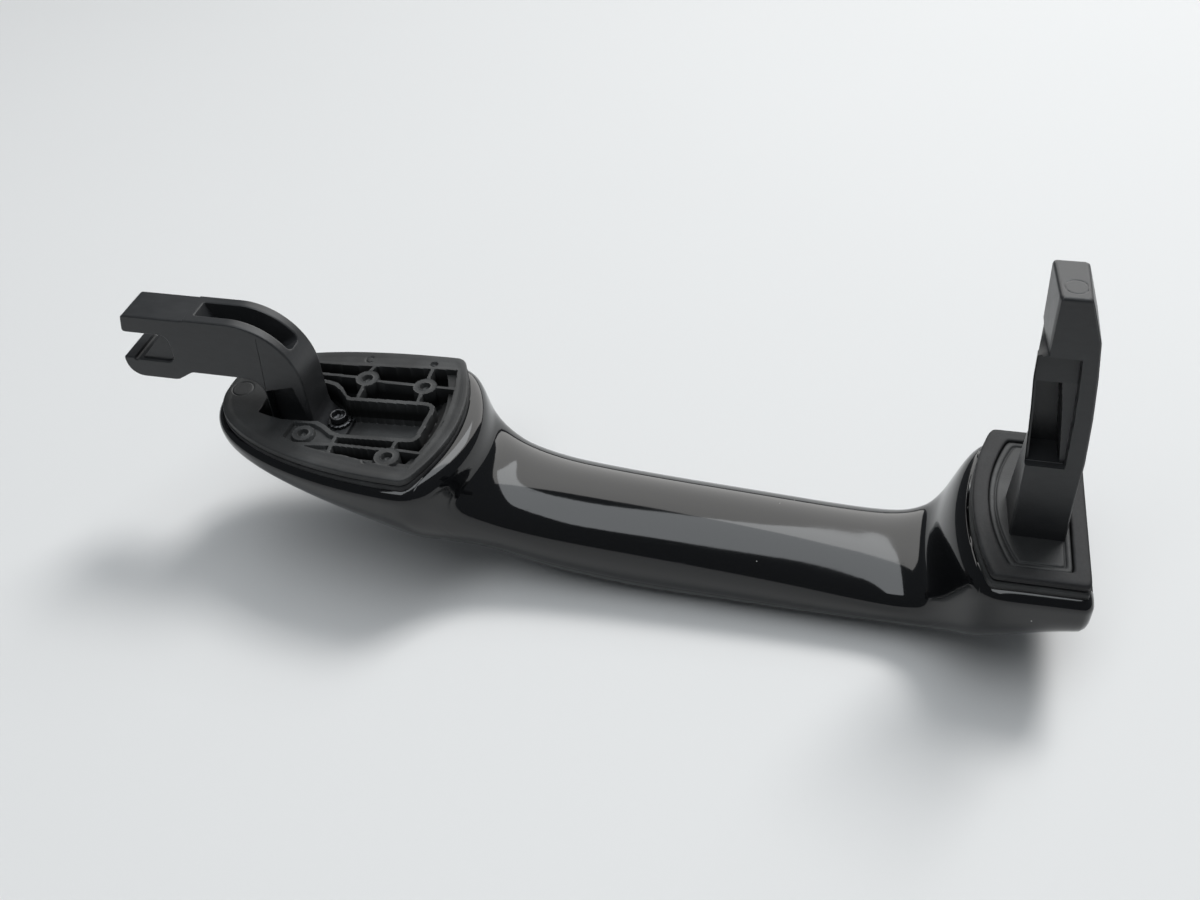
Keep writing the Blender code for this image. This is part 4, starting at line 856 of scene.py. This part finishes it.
# The front face: a step back left of the rib between sill and head, and the pocket in it.
front_count = len(front_share)
fx, fz = ring_x[:, :front_count], height + np.zeros((1, front_count))
from_right = right_edge - fx
rib = np.interp(fz, [20, 47.9], [3.7, 3.2])
pocket_right = np.interp(fz, [20, 41], [4.8, 6.4])
stepped = step(np.minimum(np.minimum(fz - 20.0, 47.9 - fz), from_right - rib), 0.22)
facet = 1.6 + 0.6 * np.clip((fz - 41.0) / 6.9, 0, 1)
cored_across = np.minimum(from_right - pocket_right, fx - left_edge - 0.8)
cored = np.minimum(np.minimum(fz - 20.3, 41.0 - fz), cored_across)
sunk = facet * stepped + 6.4 * step(cored, 0.3)
ring_y[:, :front_count] += sunk
post_points = np.stack([mid_x + ring_x * mm, post_front + ring_y * mm,
                        seat_z + height * mm + np.zeros_like(ring_x)], axis=-1)
# The top closes in shrinking rings, with the round mark left by the mould sunk in it.
top_ring, caps = post_points[-1], []
centre = np.array([mid_x + 88.9 * mm, -4.0 * mm, top_ring[0, 2]])
for share in np.linspace(1, 0.0, 46)[1:]:
    cap = centre + (top_ring - centre) * max(share, 0.002)
    reach = np.linalg.norm(cap[:, :2] - [mid_x + 89.0 * mm, -6.6 * mm], axis=1) / mm
    cap[:, 2] = top_ring[0, 2] - 0.10 * mm * np.exp(-(((reach - 2.2) / 0.16) ** 2))
    caps.append(cap[None])
foot_ring = post_points[:1]
foot_centre = foot_ring.mean(axis=1, keepdims=True)
sole = [foot_centre + (foot_ring - foot_centre) * share + [0, 0, post_low.z - foot_ring[0, 0, 2]]
        for share in (0.002, 0.5, 0.9)]
post = grid_piece("latch_post_moulding", np.concatenate(sole + [post_points] + caps), loop=True, flip=True)
post.data.set_sharp_from_angle(angle=math.radians(30))
place_piece(post, arm_nylon, "arm_nylon", "rear_post")

# ---- Beam, insert and hidden screws -----------------------------------------------------------------------
# A nylon beam runs through the grip and takes every screw; a brass insert is pressed into it under the hook
# screw, and plated screws come up through it into the bases, the post and the inner shell.
beam_nylon, wire = finish("beam_nylon", Specular_IOR_Level=0.5)
flow = wire.noise(60, 5, (0.3, 1, 1))
feed(beam_nylon, Base_Color=wire.tint(flow, (0.07, 0.07, 0.07), (0.12, 0.12, 0.12)),
     Roughness=0.5 + flow * 0.2, Normal=wire.bump(flow, 0.2, 0.0001))
brass, wire = finish("turned_brass", Metallic=1.0)
patina = wire.noise(500, 4)
feed(brass, Base_Color=wire.tint(patina, (0.55, 0.40, 0.16), (0.74, 0.57, 0.28)),
     Roughness=0.25 + patina * 0.25)
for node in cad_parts:
    if "screw" in node and node != "hook_screw":
        coat_with(node, plated_steel)
coat_with("reinforcement_beam", beam_nylon)
coat_with("hook_insert", brass)

# ---- Floor, light and camera ------------------------------------------------------------------------------
# A pale sheet under the handle, a long skylight overhead that draws the crisp band along the grip, a bright
# wall behind, dim surroundings, and the camera.
floor_grid = np.meshgrid(np.linspace(-2.5, 2.5, 40), np.linspace(-2.5, 2.5, 40), indexing="ij")
floor = grid_piece("floor", np.stack([*floor_grid, np.zeros_like(floor_grid[0])], axis=-1), flip=True)
pale, wire = finish("pale_sheet", Specular_IOR_Level=0.1)
cloud = wire.noise(3, 2)
feed(pale, Base_Color=wire.tint(cloud, (0.74, 0.74, 0.735), (0.78, 0.78, 0.775)),
     Roughness=0.7 + wire.noise(8, 2) * 0.1)
floor.data.materials.append(pale)


def area_light(name, centre, turn, size, radiance, colour=(1, 1, 1)):
    """A rectangular light at centre, turned by Euler degrees from facing straight down."""
    lamp = bpy.data.lights.new(name, "AREA")
    lamp.shape, lamp.size, lamp.size_y, lamp.color = "RECTANGLE", size[0], size[1], colour
    lamp.energy = radiance * math.pi * size[0] * size[1]
    holder = bpy.data.objects.new(name, lamp)
    bpy.context.scene.collection.objects.link(holder)
    holder.location = centre
    holder.rotation_euler = [math.radians(angle) for angle in turn]
    return holder


area_light("skylight", (0.14, 0.21, 1.3), (0, 0, 64), (2.5, 0.6), 3.0, (0.93, 0.97, 1.0))
wall = area_light("bright_wall", (0.45, 2.2, 1.6), (68, 0, 180), (3.0, 3.0), 2.2, (1.0, 0.99, 0.97))
wall.visible_diffuse = False
key = area_light("key", (0.42, 0.68, 1.40), (-28, 0, -33), (0.45, 0.45), 19.5, (1.0, 0.99, 0.98))
key.visible_glossy = False
world = bpy.data.worlds.new("room")
world.use_nodes = True
world.node_tree.nodes["Background"].inputs["Color"].default_value = (0.80, 0.86, 0.92, 1)
world.node_tree.nodes["Background"].inputs["Strength"].default_value = 0.14
bpy.context.scene.world = world
bpy.context.scene.view_settings.view_transform = "Standard"

camera_data = bpy.data.cameras.new("camera")
camera_data.lens, camera_data.sensor_width = 36, 36
camera_data.clip_start = 0.01
camera = bpy.data.objects.new("camera", camera_data)
bpy.context.scene.collection.objects.link(camera)
azimuth, elevation, roll, distance = math.radians(16.0), math.radians(42.3), math.radians(-4.3), 256.9 * mm
back = Vector((math.sin(azimuth) * math.cos(elevation), -math.cos(azimuth) * math.cos(elevation),
               math.sin(elevation)))
aim = Vector((mid_x - 0.3 * mm, -20.8 * mm, seat_z + 20 * mm))
right = (-back).cross(Vector((0, 0, 1))).normalized()
rise = right.cross(-back)
side = math.cos(roll) * right + math.sin(roll) * rise
head = -math.sin(roll) * right + math.cos(roll) * rise
facing = Matrix((side, head, back)).transposed().to_4x4()
camera.matrix_world = Matrix.Translation(aim + back * distance) @ facing
bpy.context.scene.camera = camera
